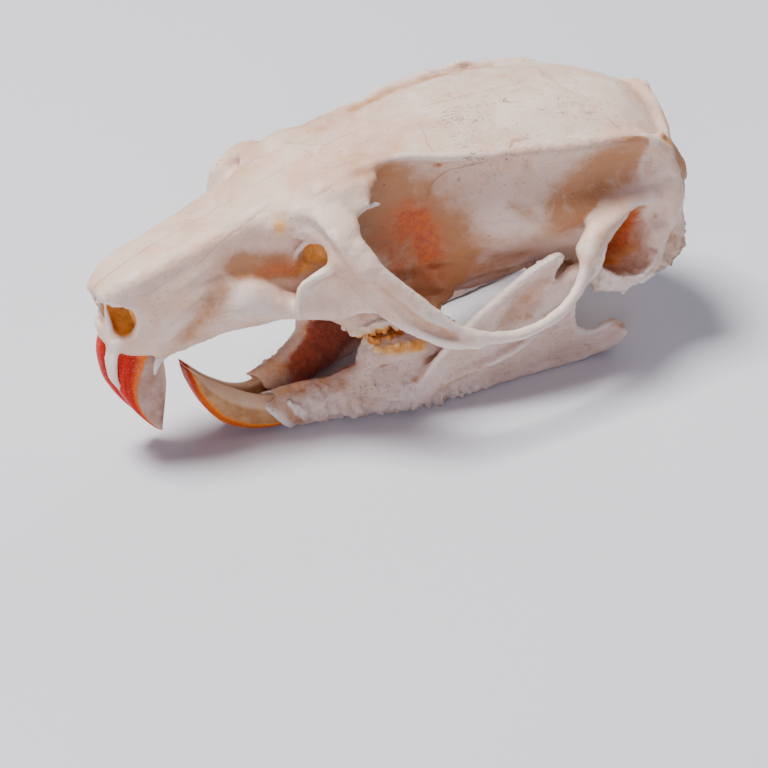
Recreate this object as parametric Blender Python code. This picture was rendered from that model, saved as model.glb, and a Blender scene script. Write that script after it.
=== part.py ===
"""A dry rat skull resting on its lower jaw.

Millimetres in the design values, metres in the meshes. X runs from the nose tip (low) to the
back of the head, Y from the left side (low) to the right, Z up from the table.
"""
import math

import bmesh
import bpy
import numpy as np
from mathutils import Vector

MM = 0.001

# Driving dimensions
CENTRE_X = 22.14
SEAM_GAP = 0.3
HALF_GAP = SEAM_GAP / 2.0

# Palate and tooth rows
UPPER_ROW_START = 16.2
UPPER_ROW_Y = 3.55
LOWER_ROW_Y = 3.65
MOLAR_LENGTHS = (2.9, 2.2, 1.9)
UPPER_MOLAR_WIDTHS = (2.0, 1.9, 1.6)
LOWER_MOLAR_WIDTHS = (1.8, 1.8, 1.5)
BITE_Z_FRONT = 6.5
BITE_Z_BACK = 5.5
CROWN_HEIGHT = 1.0
ROOT_LENGTH = 0.9
ROOT_SHARE = 0.55
SOCKET_MOUTH = 2.0
LOWER_ROW_SETBACK = 0.5

# Incisors: arcs seen from the side
UPPER_ARC_CENTRE = (8.0, 8.7)
UPPER_ARC_RADIUS = 7.9
UPPER_DEPTH = 2.5
UPPER_WIDTH = 1.5
UPPER_ROOT_ANGLE = 172.0
UPPER_TIP_ANGLE = 238.0
LOWER_DEPTH = 2.0
LOWER_WIDTH = 1.3
LOWER_ROOT_SPREAD = 0.28
LOWER_ENAMEL_LINE = ((14.4, 1.0), (12.9, 0.75), (11.4, 0.35), (9.5, 0.75), (7.7, 1.8), (6.4, 3.3),
                     (5.4, 5.1), (4.7, 6.9))

# Mesh fineness
VOXEL = 0.3
RING_POINTS = 36
CRANIUM_SHARE = 0.040
JAW_SHARE = 0.095

BONE = (0.82, 0.74, 0.66, 1.0)
ENAMEL_RED = (0.80, 0.16, 0.03, 1.0)
ENAMEL_ORANGE = (0.86, 0.33, 0.06, 1.0)
MOLAR_CREAM = (0.84, 0.70, 0.50, 1.0)


def clear_scene():
    for old in list(bpy.data.objects):
        bpy.data.objects.remove(old, do_unlink=True)


def make_material(name, colour, roughness):
    material = bpy.data.materials.new(name)
    material.use_nodes = True
    shader = material.node_tree.nodes["Principled BSDF"]
    shader.inputs["Base Color"].default_value = colour
    shader.inputs["Roughness"].default_value = roughness
    shader.inputs["Metallic"].default_value = 0.0
    material.diffuse_color = colour
    return material


def smooth_curve(points, count):
    """Points spaced along a smooth curve that passes through the given ones."""
    points = np.asarray(points, float)
    padded = np.vstack([2 * points[0] - points[1], points, 2 * points[-1] - points[-2]])
    spans = len(points) - 1
    result = []
    for step in range(count):
        place = spans * step / (count - 1)
        span = min(int(place), spans - 1)
        t = place - span
        a, b, c, d = padded[span:span + 4]
        result.append(0.5 * (2 * b + (c - a) * t + (2 * a - 5 * b + 4 * c - d) * t * t
                             + (3 * b - a - 3 * c + d) * t ** 3))
    return np.array(result)


def add_rings(bm, rings):
    """Bridge closed rings of equal size, and cap both ends."""
    rows = []
    for ring in rings:
        rows.append([bm.verts.new(Vector(point) * MM) for point in ring])
    count = len(rows[0])
    for first, second in zip(rows, rows[1:]):
        for i in range(count):
            j = (i + 1) % count
            bm.faces.new((first[i], first[j], second[j], second[i]))
    bm.faces.new(list(reversed(rows[0])))
    bm.faces.new(rows[-1])


def add_tube(bm, path, sizes, steps=24, sides=14, lean=0.0):
    """Sweep an ellipse along a smooth path. Sizes are (across, upright) half widths."""
    centres = smooth_curve(path, steps)
    halves = smooth_curve(sizes, steps)
    rings = []
    for i, centre in enumerate(centres):
        ahead = centres[min(i + 1, steps - 1)] - centres[max(i - 1, 0)]
        ahead /= np.linalg.norm(ahead)
        up = np.array([0.0, math.sin(lean), math.cos(lean)])
        if abs(ahead.dot(up)) > 0.95:
            up = np.array([1.0, 0.0, 0.0])
        across = np.cross(up, ahead)
        across /= np.linalg.norm(across)
        up = np.cross(ahead, across)
        ring = []
        for k in range(sides):
            angle = 2 * math.pi * k / sides
            ring.append(centre + across * halves[i][0] * math.cos(angle)
                        + up * halves[i][1] * math.sin(angle))
        rings.append(ring)
    add_rings(bm, rings)


def add_ball(bm, centre, radii):
    made = bmesh.ops.create_uvsphere(bm, u_segments=24, v_segments=16, radius=1.0)
    for vert in made["verts"]:
        vert.co = Vector([(centre[i] + vert.co[i] * radii[i]) * MM for i in range(3)])


def add_slab(bm, outline, place):
    """A plate with the given outline. place(u, v, side) gives the point on either face."""
    count = len(outline)
    near = [bm.verts.new(Vector(place(u, v, -1)) * MM) for u, v in outline]
    far = [bm.verts.new(Vector(place(u, v, 1)) * MM) for u, v in outline]
    bm.faces.new(near)
    bm.faces.new(list(reversed(far)))
    for i in range(count):
        j = (i + 1) % count
        bm.faces.new((near[j], near[i], far[i], far[j]))


def finish_object(name, bm, material):
    bmesh.ops.recalc_face_normals(bm, faces=bm.faces)
    bmesh.ops.translate(bm, verts=bm.verts, vec=Vector((-CENTRE_X * MM, 0.0, 0.0)))
    mesh = bpy.data.meshes.new(name)
    bm.to_mesh(mesh)
    bm.free()
    mesh.materials.append(material)
    mesh.shade_smooth()
    obj = bpy.data.objects.new(name, mesh)
    bpy.context.scene.collection.objects.link(obj)
    return obj


def fuse(obj, voxel, smoothing):
    """Merge overlapping shapes into one skin and soften where they meet."""
    remesh = obj.modifiers.new("skin", "REMESH")
    remesh.mode = "VOXEL"
    remesh.voxel_size = voxel * MM
    remesh.adaptivity = 0.0
    remesh.use_smooth_shade = True
    smooth = obj.modifiers.new("soften", "SMOOTH")
    smooth.factor = 0.5
    smooth.iterations = smoothing


def cut(obj, cutter):
    cutter.hide_render = True
    cutter.display_type = "WIRE"
    boolean = obj.modifiers.new("cut " + cutter.name, "BOOLEAN")
    boolean.operation = "DIFFERENCE"
    boolean.solver = "EXACT"
    boolean.object = cutter


def thin_out(obj, share):
    decimate = obj.modifiers.new("thin out", "DECIMATE")
    decimate.decimate_type = "COLLAPSE"
    decimate.ratio = share
    decimate.use_collapse_triangulate = True


# Cross-sections of the trunk of the cranium, nose to occiput. Each has x, the height of the
# midline, then (y, z) of the dorsal ridge, the waist under it, the widest bulge and the lower
# corner, the height of the base, and how much higher the right ridge stands than the left.
TRUNK_SECTIONS = (
    (0.3, 13.4, (1.3, 12.9), (1.7, 11.8), (1.7, 10.4), (1.2, 8.6), 8.8, 0.0),
    (1.6, 14.0, (1.9, 13.5), (2.3, 12.0), (2.3, 9.8), (1.7, 7.6), 7.6, 0.0),
    (3.4, 14.8, (2.2, 14.1), (2.7, 12.1), (2.8, 9.5), (1.9, 7.2), 7.1, 0.0),
    (5.2, 15.4, (2.4, 14.6), (2.9, 12.4), (3.0, 10.0), (1.9, 7.6), 7.4, 0.0),
    (8.0, 16.3, (2.6, 15.5), (3.0, 13.2), (3.3, 10.8), (2.1, 8.3), 8.1, 0.0),
    (11.0, 17.3, (2.8, 16.6), (3.2, 14.4), (3.5, 11.2), (2.3, 8.2), 8.0, 0.0),
    (14.0, 18.2, (3.0, 17.6), (3.2, 15.4), (3.3, 11.6), (2.7, 8.4), 8.2, 0.0),
    (17.0, 18.9, (3.2, 18.5), (2.7, 16.6), (2.8, 13.0), (2.9, 9.4), 8.4, -0.2),
    (20.0, 19.3, (3.6, 18.8), (3.0, 16.5), (3.1, 13.0), (3.0, 9.4), 8.5, -0.2),
    (23.0, 19.6, (4.6, 18.6), (4.1, 16.5), (4.3, 12.6), (2.9, 9.0), 8.5, 0.1),
    (26.0, 19.9, (5.4, 18.4), (5.4, 16.0), (6.0, 12.6), (3.2, 8.3), 8.0, 0.35),
    (29.0, 19.9, (5.8, 18.2), (6.0, 15.8), (6.8, 12.2), (3.6, 7.8), 7.7, 0.45),
    (33.0, 19.6, (6.1, 17.7), (6.4, 15.3), (7.2, 11.8), (4.0, 7.4), 7.4, 0.45),
    (37.0, 19.0, (6.2, 17.1), (6.5, 14.8), (6.9, 11.4), (4.2, 7.1), 7.1, 0.4),
    (39.6, 18.2, (6.0, 15.6), (6.3, 13.4), (6.5, 10.8), (4.0, 6.9), 6.9, 0.2),
    (41.6, 16.9, (4.8, 14.4), (5.5, 12.3), (5.6, 9.8), (3.4, 7.0), 6.8, 0.0),
    (42.9, 15.0, (3.2, 13.4), (3.9, 11.8), (4.0, 9.6), (2.6, 7.6), 7.2, 0.0),
)


# Height that the right temporal ridge has over the left one along the braincase
RIDGE_LIFT = 0.4


def closed_curve(points, count):
    """Points spaced along a smooth closed curve through the given ones."""
    points = np.asarray(points, float)
    wrapped = np.vstack([points[-3:], points, points[:4]])
    dense = smooth_curve(wrapped, (len(wrapped) - 1) * 12 + 1)
    lap = len(points) * 12
    start = 3 * 12
    return np.array([dense[start + int(round(lap * k / count))] for k in range(count)])


def trunk_ring(section):
    x, top, ridge, waist, bulge, corner, base, lift = section
    half = [waist, bulge, corner]
    right = [(0.0, top), (ridge[0], ridge[1] + lift)] + half
    left = [(-y, z) for y, z in reversed([ridge] + half)]
    outline = right + [(0.0, base)] + left
    return [(x, y, z) for y, z in closed_curve(outline, RING_POINTS)]


def add_trunk(bm):
    rings = np.array([trunk_ring(section) for section in TRUNK_SECTIONS])
    stations = 3 * len(rings)
    columns = [smooth_curve(rings[:, k], stations) for k in range(rings.shape[1])]
    add_rings(bm, [[column[i] for column in columns] for i in range(stations)])


def add_cheek(bm, side):
    """Zygomatic plate, upper root and arch of one side."""
    add_tube(bm, [(14.7, side * 2.4, 17.0), (14.6, side * 4.8, 16.7), (14.5, side * 7.0, 15.6)],
             [(1.2, 0.8), (1.1, 0.6), (1.4, 0.8)], steps=12)
    plate = [(12.4, 9.2), (11.6, 10.4), (11.1, 12.2), (11.3, 13.6), (12.6, 14.6), (13.3, 15.6),
             (13.6, 16.4), (15.4, 16.2), (16.6, 14.2), (16.9, 11.4), (16.6, 8.8)]

    def on_plate(x, z, face):
        return (x, side * (4.3 + 0.33 * (z - 8.8) + 0.35 * face), z)

    add_slab(bm, plate, on_plate)
    arch = [(14.6, 7.1, 15.7), (15.3, 8.0, 14.1), (16.8, 9.1, 11.9), (19.2, 9.8, 9.3),
            (22.5, 10.2, 8.1), (26.0, 10.4, 7.2), (28.6, 10.0, 7.6), (30.4, 9.6, 9.2),
            (31.8, 9.0, 10.9), (33.8, 7.6, 12.2), (35.6, 6.4, 12.6)]
    sizes = [(0.7, 0.7), (0.65, 0.7), (0.65, 0.8), (0.6, 0.75), (0.6, 0.75), (0.7, 0.6),
             (0.8, 0.8), (0.8, 1.0), (1.1, 1.0), (1.6, 0.9), (1.2, 0.7)]
    add_tube(bm, [(x, side * y, z) for x, y, z in arch], sizes, steps=44)
    add_tube(bm, [(12.9, side * 2.6, 9.3), (13.6, side * 4.2, 9.3), (15.6, side * 4.6, 9.2)],
             [(1.0, 0.6), (1.2, 0.6), (1.0, 0.6)], steps=10)


def add_ear_region(bm, side):
    """Bulla, mastoid corner, paroccipital hook and occipital condyle of one side."""
    add_ball(bm, (36.6, side * 5.2, 7.7), (3.6, 2.8, 3.2))
    add_ball(bm, (32.8, side * 3.9, 6.9), (1.8, 1.2, 0.9))
    add_ball(bm, (39.6, side * 6.2, 9.4), (1.9, 1.3, 2.6))
    add_tube(bm, [(40.6, side * 5.6, 9.0), (41.4, side * 5.3, 6.6), (41.2, side * 5.0, 4.6)],
             [(0.9, 1.0), (0.7, 0.7), (0.35, 0.35)], steps=10)
    add_ball(bm, (42.9, side * 2.3, 6.9), (1.3, 0.9, 1.4))


def add_ridges(bm, side):
    """Crests that bound the roof of the braincase and the back of the head, one side."""
    lift = RIDGE_LIFT if side > 0 else 0.0
    temporal = [(16.5, 3.1, 18.5), (20.0, 3.6, 18.8), (23.0, 4.7, 18.6), (26.0, 5.5, 18.4 + lift),
                (29.5, 5.9, 18.1 + lift), (33.0, 6.2, 17.6 + lift), (36.6, 6.3, 17.1 + lift),
                (38.6, 6.5, 16.3)]
    add_tube(bm, [(x, side * y, z) for x, y, z in temporal], [(0.35, 0.35), (0.45, 0.4)], steps=30)
    nuchal = [(42.2, 0.0, 16.9), (41.9, 2.6, 16.1), (41.0, 4.8, 15.0), (40.6, 6.3, 13.6),
              (41.0, 6.5, 11.4), (41.2, 6.1, 8.8)]
    add_tube(bm, [(x, side * y, z) for x, y, z in nuchal], [(0.45, 0.5), (0.6, 0.5)], steps=24)
    squamosal = [(31.8, 8.6, 11.4), (34.4, 7.6, 12.6), (37.2, 7.1, 12.8), (40.2, 6.8, 12.6)]
    add_tube(bm, [(x, side * y, z) for x, y, z in squamosal], [(0.6, 0.5), (0.5, 0.5)], steps=16)


def add_palate(bm, side):
    """Tooth-bearing ridge and the pterygoid blade behind it, one side."""
    add_tube(bm, [(14.6, side * 3.3, 9.3), (16.4, side * UPPER_ROW_Y, 9.1),
                  (20.5, side * UPPER_ROW_Y, 8.6), (24.4, side * 3.4, 8.1)],
             [(0.9, 0.8), (1.35, 1.15), (1.35, 1.15), (1.1, 1.1)], steps=16)
    blade = [(23.0, 9.2), (24.0, 7.2), (27.6, 6.4), (29.6, 6.9), (30.4, 8.4), (27.0, 9.4)]

    def on_blade(x, z, face):
        return (x, side * (2.2 + 0.08 * (x - 23.0) + 0.4 * face), z)

    add_slab(bm, blade, on_blade)


def upper_molar_box(index):
    start = UPPER_ROW_START + sum(MOLAR_LENGTHS[:index]) + 0.25 * index
    return start, start + MOLAR_LENGTHS[index]


def bite_height(x):
    share = (x - UPPER_ROW_START) / 7.5
    return BITE_Z_FRONT + (BITE_Z_BACK - BITE_Z_FRONT) * share


def rounded_plan(x_range, y_centre, width, share, corner):
    """Outline in plan of a tooth, shrunk about its middle to the given share."""
    centre = (x_range[0] + x_range[1]) / 2.0
    half_x = (x_range[1] - x_range[0]) / 2.0 * share
    half_y = width / 2.0 * share
    corner = corner * share
    plan = []
    for quarter, (sx, sy) in enumerate(((1, 1), (-1, 1), (-1, -1), (1, -1))):
        for k in range(3):
            angle = math.radians(90.0 * quarter + 45.0 * k)
            plan.append((centre + sx * (half_x - corner) + corner * math.cos(angle),
                         y_centre + sy * (half_y - corner) + corner * math.sin(angle)))
    return plan


def make_molar(name, x_range, y, width, away, material):
    """A worn crown on a narrower root. away is 1 where the root points up, -1 where down."""
    levels = ((0.0, 0.86), (0.15, 1.0), (CROWN_HEIGHT, 1.0), (CROWN_HEIGHT, ROOT_SHARE),
              (CROWN_HEIGHT + ROOT_LENGTH, ROOT_SHARE))
    rings = []
    for height, share in levels:
        plan = rounded_plan(x_range, y, width, share, 0.5)
        rings.append([(px, py, bite_height(px) + away * (HALF_GAP + height)) for px, py in plan])
    bm = bmesh.new()
    add_rings(bm, rings)
    return finish_object(name, bm, material)


def make_upper_molar(side, index, material):
    name = "upper_molar_%s_%d" % ("left" if side < 0 else "right", index + 1)
    width = UPPER_MOLAR_WIDTHS[index]
    return make_molar(name, upper_molar_box(index), side * UPPER_ROW_Y, width, 1, material)


def make_lower_molar(side, index, material):
    name = "lower_molar_%s_%d" % ("left" if side < 0 else "right", index + 1)
    x_range = [x + LOWER_ROW_SETBACK for x in upper_molar_box(index)]
    width = LOWER_MOLAR_WIDTHS[index]
    return make_molar(name, x_range, side * LOWER_ROW_Y, width, -1, material)


def row_socket(name, side, upper, material):
    """Stepped trough for one tooth row: wide round the crowns, narrow round the roots."""
    away = 1 if upper else -1
    shift = 0.0 if upper else LOWER_ROW_SETBACK
    y = side * (UPPER_ROW_Y if upper else LOWER_ROW_Y)
    widest = UPPER_MOLAR_WIDTHS[0] if upper else LOWER_MOLAR_WIDTHS[0]
    first = upper_molar_box(0)[0] + shift
    last = upper_molar_box(2)[1] + shift
    inset = (1.0 - ROOT_SHARE) / 2.0
    crown = (first - SEAM_GAP, last + SEAM_GAP, widest / 2.0 + SEAM_GAP)
    root = (first + MOLAR_LENGTHS[0] * inset - SEAM_GAP,
            last - MOLAR_LENGTHS[2] * inset + SEAM_GAP,
            widest * ROOT_SHARE / 2.0 + SEAM_GAP)
    shoulder = HALF_GAP + CROWN_HEIGHT + SEAM_GAP
    rings = []
    for (start, end, half), reach in ((crown, -SOCKET_MOUTH), (crown, shoulder),
                                      (root, shoulder), (root, shoulder + ROOT_LENGTH)):
        rings.append([(x, row_y, bite_height(x) + away * reach)
                      for x, row_y in ((start, y - half), (end, y - half),
                                       (end, y + half), (start, y + half))])
    bm = bmesh.new()
    add_rings(bm, rings)
    return finish_object(name, bm, material)


def upper_enamel_line():
    """Front surface of an upper incisor seen from the side, root to tip."""
    line = []
    for step in range(8):
        share = step / 7
        angle = math.radians(UPPER_ROOT_ANGLE + (UPPER_TIP_ANGLE - UPPER_ROOT_ANGLE) * share)
        line.append((UPPER_ARC_CENTRE[0] + UPPER_ARC_RADIUS * math.cos(angle),
                     UPPER_ARC_CENTRE[1] + UPPER_ARC_RADIUS * math.sin(angle)))
    return line


def incisor_rings(enamel_line, inner_side, depth, width, y, grow, taper):
    """Rings of a tooth behind its enamel line. The last stretch is ground to a chisel.

    inner_side is 1 where the inside lies left of the line on the way to the tip, else -1.
    """
    steps = 14
    line = smooth_curve(enamel_line, steps)
    rings = []
    for i in range(steps):
        share = i / (steps - 1)
        full = min(1.0, 0.62 + 1.5 * share)
        ahead = line[min(i + 1, steps - 1)] - line[max(i - 1, 0)]
        ahead /= np.linalg.norm(ahead)
        inward = inner_side * np.array([-ahead[1], ahead[0]])
        worn = max(0.0, (share - (1.0 - taper)) / taper)
        thick = depth * full * (1.0 - 0.86 * worn) + 2 * grow
        middle = line[i] + inward * (thick / 2.0 - grow)
        if grow and i == 0:
            middle = middle - ahead * grow
        ring = []
        for k in range(10):
            turn = 2 * math.pi * k / 10
            upright = abs(math.cos(turn)) ** 0.7 * math.copysign(1.0, math.cos(turn))
            across = abs(math.sin(turn)) ** 0.7 * math.copysign(1.0, math.sin(turn))
            place = middle + inward * thick / 2.0 * upright
            half = width / 2.0 * full + grow
            ring.append(np.array([place[0], y + half * across, place[1]]))
        rings.append(ring)
    return rings


def upper_socket(material):
    """One curved opening at the front of the snout for both upper incisors."""
    width = 2 * (UPPER_WIDTH + SEAM_GAP)
    bm = bmesh.new()
    add_rings(bm, incisor_rings(upper_enamel_line(), 1, UPPER_DEPTH, width, 0.0, SEAM_GAP, 0.30))
    return finish_object("upper_incisor_socket", bm, material)


def make_upper_incisor(name, side, material):
    y = side * (UPPER_WIDTH / 2.0 + HALF_GAP)
    bm = bmesh.new()
    add_rings(bm, incisor_rings(upper_enamel_line(), 1, UPPER_DEPTH, UPPER_WIDTH, y, 0.0, 0.30))
    return finish_object(name, bm, material)


def make_lower_incisor(name, side, material, grow=0.0):
    y = side * (LOWER_WIDTH / 2.0 + HALF_GAP)
    rings = incisor_rings(LOWER_ENAMEL_LINE, -1, LOWER_DEPTH, LOWER_WIDTH, y, grow, 0.25)
    for ring in rings:
        for point in ring:
            point[1] += side * LOWER_ROOT_SPREAD * max(0.0, point[0] - 9.0)
    bm = bmesh.new()
    add_rings(bm, rings)
    return finish_object(name, bm, material)


def make_cranium(bone):
    bm = bmesh.new()
    add_trunk(bm)
    for side in (-1, 1):
        add_cheek(bm, side)
        add_ear_region(bm, side)
        add_ridges(bm, side)
        add_palate(bm, side)
    cranium = finish_object("cranium", bm, bone)
    fuse(cranium, VOXEL, 3)
    thin_out(cranium, CRANIUM_SHARE)
    nose = bmesh.new()
    add_tube(nose, [(-1.0, 0.0, 11.0), (1.2, 0.0, 11.4), (3.6, 0.0, 11.8)],
             [(1.3, 1.2), (1.3, 1.2), (0.7, 0.7)], steps=8)
    cut(cranium, finish_object("nasal_opening", nose, bone))
    magnum = bmesh.new()
    add_ball(magnum, (43.8, 0.0, 8.6), (3.0, 1.9, 1.8))
    cut(cranium, finish_object("foramen_magnum", magnum, bone))
    for side, word in ((-1, "left"), (1, "right")):
        ear = bmesh.new()
        add_ball(ear, (36.4, side * 8.2, 10.2), (1.8, 2.3, 2.3))
        cut(cranium, finish_object("ear_opening_" + word, ear, bone))
        cut(cranium, row_socket("upper_row_socket_" + word, side, True, bone))
    cut(cranium, upper_socket(bone))
    return cranium


# The lower jaw sits a few degrees askew under the head, turned about the middle of the skull.
JAW_YAW = 3.5

RAMUS_OUTLINE = (
    (21.0, 4.6), (23.3, 6.9), (25.2, 8.6), (26.7, 9.6), (28.3, 10.4), (29.6, 10.5), (29.6, 9.6),
    (30.2, 8.2), (31.0, 8.4), (32.2, 8.6), (32.8, 8.0), (32.2, 6.2), (31.6, 4.6), (32.4, 3.1),
    (35.1, 3.1), (36.6, 1.9), (36.0, 1.0), (33.8, 0.4), (31.0, 0.1), (27.2, 0.4), (24.0, 0.1),
    (20.6, 0.5),
)


def make_jaw_half(side, bone):
    word = "left" if side < 0 else "right"
    bm = bmesh.new()
    body = [(11.2, 1.2, 1.6), (12.8, 1.7, 1.35), (15.0, 2.5, 1.35), (17.6, 3.2, 2.0),
            (20.6, 3.9, 2.1), (24.0, 4.7, 2.3)]
    sizes = [(1.05, 1.2), (1.25, 1.55), (1.4, 1.55), (1.6, 2.2), (1.5, 2.35), (1.0, 2.4)]
    add_tube(bm, [(x, side * y, z) for x, y, z in body], sizes, steps=26, sides=18)
    add_tube(bm, [(17.4, side * 3.4, 3.7), (20.0, side * LOWER_ROW_Y, 3.4),
                  (24.6, side * 4.0, 2.9)],
             [(1.35, 1.4), (1.5, 1.3), (1.3, 1.2)], steps=14)

    def on_ramus(x, z, face):
        bow = 5.3 + 0.26 * z + 0.06 * (x - 26.0)
        return (x, side * (bow + 0.45 * face), z)

    add_slab(bm, RAMUS_OUTLINE, on_ramus)
    add_ball(bm, (31.9, side * 7.8, 8.3), (1.1, 0.75, 0.7))
    crest = [(22.5, 6.1, 5.6), (25.1, 7.5, 8.5), (27.2, 7.9, 9.8), (29.4, 8.1, 10.4)]
    add_tube(bm, [(x, side * y, z) for x, y, z in crest], [(0.5, 0.5), (0.55, 0.5)], steps=14)
    masseteric = [(16.8, 4.4, 1.6), (21.0, 5.5, 2.2), (25.0, 6.3, 3.0), (28.5, 6.9, 3.4)]
    add_tube(bm, [(x, side * y, z) for x, y, z in masseteric], [(0.5, 0.5), (0.35, 0.4)], steps=14)
    hem = [(22.0, 4.9, 0.4), (27.4, 5.5, 0.4), (32.0, 6.1, 0.33), (36.0, 6.6, 1.4)]
    add_tube(bm, [(x, side * y, z) for x, y, z in hem], [(0.6, 0.55), (0.5, 0.5)], steps=16)
    jaw = finish_object("mandible_" + word, bm, bone)
    fuse(jaw, VOXEL, 3)
    thin_out(jaw, JAW_SHARE)
    table = bmesh.new()
    add_rings(table, [[(x, -12.0, -3.0), (x, 12.0, -3.0), (x, 12.0, 0.0), (x, -12.0, 0.0)]
                      for x in (5.0, 40.0)])
    middle = bmesh.new()
    inner = -side * 3.0
    seam = side * HALF_GAP
    add_rings(middle, [[(x, min(inner, seam), -3.0), (x, max(inner, seam), -3.0),
                        (x, max(inner, seam), 9.0), (x, min(inner, seam), 9.0)]
                       for x in (5.0, 40.0)])
    cutters = [row_socket("lower_row_socket_" + word, side, False, bone),
               make_lower_incisor("lower_incisor_socket_" + word, side, bone, SEAM_GAP),
               finish_object("table_plane_" + word, table, bone),
               finish_object("symphysis_plane_" + word, middle, bone)]
    for cutter in cutters:
        cut(jaw, cutter)
    return [jaw] + cutters


def main():
    clear_scene()
    bone = make_material("dry bone", BONE, 0.55)
    upper_enamel = make_material("upper incisor enamel", ENAMEL_RED, 0.25)
    lower_enamel = make_material("lower incisor enamel", ENAMEL_ORANGE, 0.25)
    molar = make_material("molar", MOLAR_CREAM, 0.35)
    lower_jaw = bpy.data.objects.new("lower_jaw_axis", None)
    lower_jaw.rotation_euler = (0.0, 0.0, math.radians(JAW_YAW))
    bpy.context.scene.collection.objects.link(lower_jaw)
    make_cranium(bone)
    for side, word in ((-1, "left"), (1, "right")):
        make_upper_incisor("upper_incisor_" + word, side, upper_enamel)
        carried = make_jaw_half(side, bone)
        carried.append(make_lower_incisor("lower_incisor_" + word, side, lower_enamel))
        for index in range(3):
            make_upper_molar(side, index, molar)
            carried.append(make_lower_molar(side, index, molar))
        for piece in carried:
            piece.parent = lower_jaw


main()
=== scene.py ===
import math

import bmesh
import bpy
import numpy as np
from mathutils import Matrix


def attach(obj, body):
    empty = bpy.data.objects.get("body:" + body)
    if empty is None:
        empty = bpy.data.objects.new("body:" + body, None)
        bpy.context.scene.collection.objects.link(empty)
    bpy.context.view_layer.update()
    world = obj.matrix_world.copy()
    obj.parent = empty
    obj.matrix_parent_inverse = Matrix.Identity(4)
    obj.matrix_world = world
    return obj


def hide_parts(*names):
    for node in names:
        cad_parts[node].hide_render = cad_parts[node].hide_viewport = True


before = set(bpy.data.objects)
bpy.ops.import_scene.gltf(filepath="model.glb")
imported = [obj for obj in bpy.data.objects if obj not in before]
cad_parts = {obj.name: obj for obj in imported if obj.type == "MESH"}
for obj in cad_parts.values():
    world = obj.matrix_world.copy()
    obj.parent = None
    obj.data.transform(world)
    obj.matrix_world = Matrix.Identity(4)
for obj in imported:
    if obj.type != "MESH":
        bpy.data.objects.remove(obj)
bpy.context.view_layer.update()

import openvdb
from mathutils import Vector, noise

# The view: a camera a little above the skull, off its left side and towards the nose, with a
# long lens, as the specimen was photographed.
camera_data = bpy.data.cameras.new("camera")
camera = bpy.data.objects.new("camera", camera_data)
bpy.context.scene.collection.objects.link(camera)
view_turn = math.radians(31.0)
view_height = math.radians(29.3)
view_distance = 0.160
view_target = Vector((-0.00014, 0.0, 0.010))
picture_width = 768.0
view_back = Vector((-math.sin(view_turn) * math.cos(view_height),
                    -math.cos(view_turn) * math.cos(view_height), math.sin(view_height)))
camera.location = view_target + view_back * view_distance
camera.rotation_euler = view_back.to_track_quat("Z", "Y").to_euler()
camera_data.sensor_width = 36.0
camera_data.lens = 111.28
camera_data.shift_x = -10.0 / picture_width
camera_data.shift_y = -140.0 / picture_width
camera_data.clip_start = 0.005
camera_data.clip_end = 5.0
bpy.context.scene.camera = camera

# The studio: a wide pale sheet under the skull, a broad soft lamp high on the left, a weaker
# one on the nose side and a faint one behind.
sheet_mesh = bpy.data.meshes.new("studio_floor")
sheet_mesh.from_pydata([(-0.8, -0.8, 0), (0.8, -0.8, 0), (0.8, 0.8, 0), (-0.8, 0.8, 0)], [],
                       [(0, 1, 2, 3)])
studio_floor = bpy.data.objects.new("studio_floor", sheet_mesh)
bpy.context.scene.collection.objects.link(studio_floor)
floor_paper = bpy.data.materials.new("floor paper")
floor_paper.use_nodes = True
paper = floor_paper.node_tree.nodes["Principled BSDF"]
paper.inputs["Base Color"].default_value = (0.68, 0.70, 0.76, 1)
paper.inputs["Roughness"].default_value = 0.8
sheet_mesh.materials.append(floor_paper)


def soft_lamp(name, place, size, watts, tint):
    """A round lamp of some size, in metres, turned to the middle of the skull."""
    data = bpy.data.lights.new(name, "AREA")
    data.shape = "DISK"
    data.size = size
    data.energy = watts
    data.color = tint
    lamp = bpy.data.objects.new(name, data)
    lamp.location = place
    lamp.rotation_euler = (Vector(place) - Vector((0.0, 0.0, 0.01))).to_track_quat("Z",
                                                                                   "Y").to_euler()
    bpy.context.scene.collection.objects.link(lamp)


soft_lamp("key lamp", (-0.10, 0.05, 0.32), 0.12, 2.15, (1.0, 0.97, 0.93))
soft_lamp("nose lamp", (-0.22, -0.26, 0.12), 0.14, 0.36, (0.92, 0.86, 1.0))
soft_lamp("back lamp", (0.25, 0.16, 0.20), 0.20, 0.35, (1.0, 1.0, 1.0))
world = bpy.data.worlds.new("studio air")
world.use_nodes = True
air = world.node_tree.nodes["Background"]
air.inputs["Color"].default_value = (0.78, 0.76, 1.0, 1.0)
air.inputs["Strength"].default_value = 0.16
bpy.context.scene.world = world


# Bone is grown, not assembled: each one is a single skin round many swellings, ridges and
# hollows. It is shaped here as a distance field on a grid, in millimetres with x from the nose
# tip, where swellings are joined and hollows are carved with soft meeting lines.
NOSE_TO_CENTRE = 22.14
FAR = 3.0        # distances are worked out up to here
MARGIN = 0.6     # and this far past the reach of a shape's blend
THINNEST = 0.05  # least half width of a rod
ROUNDING = 0.12  # radius of a plate's edges


def smooth_curve(points, count):
    """Points spaced along a smooth curve that passes through the given ones."""
    points = np.asarray(points, float)
    padded = np.vstack([2 * points[0] - points[1], points, 2 * points[-1] - points[-2]])
    place = np.linspace(0.0, len(points) - 1.0, count)
    span = np.minimum(place.astype(int), len(points) - 2)
    t = (place - span)[:, None]
    a, b, c, d = padded[span], padded[span + 1], padded[span + 2], padded[span + 3]
    return 0.5 * (2 * b + (c - a) * t + (2 * a - 5 * b + 4 * c - d) * t * t
                  + (3 * b - a - 3 * c + d) * t ** 3)


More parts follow.
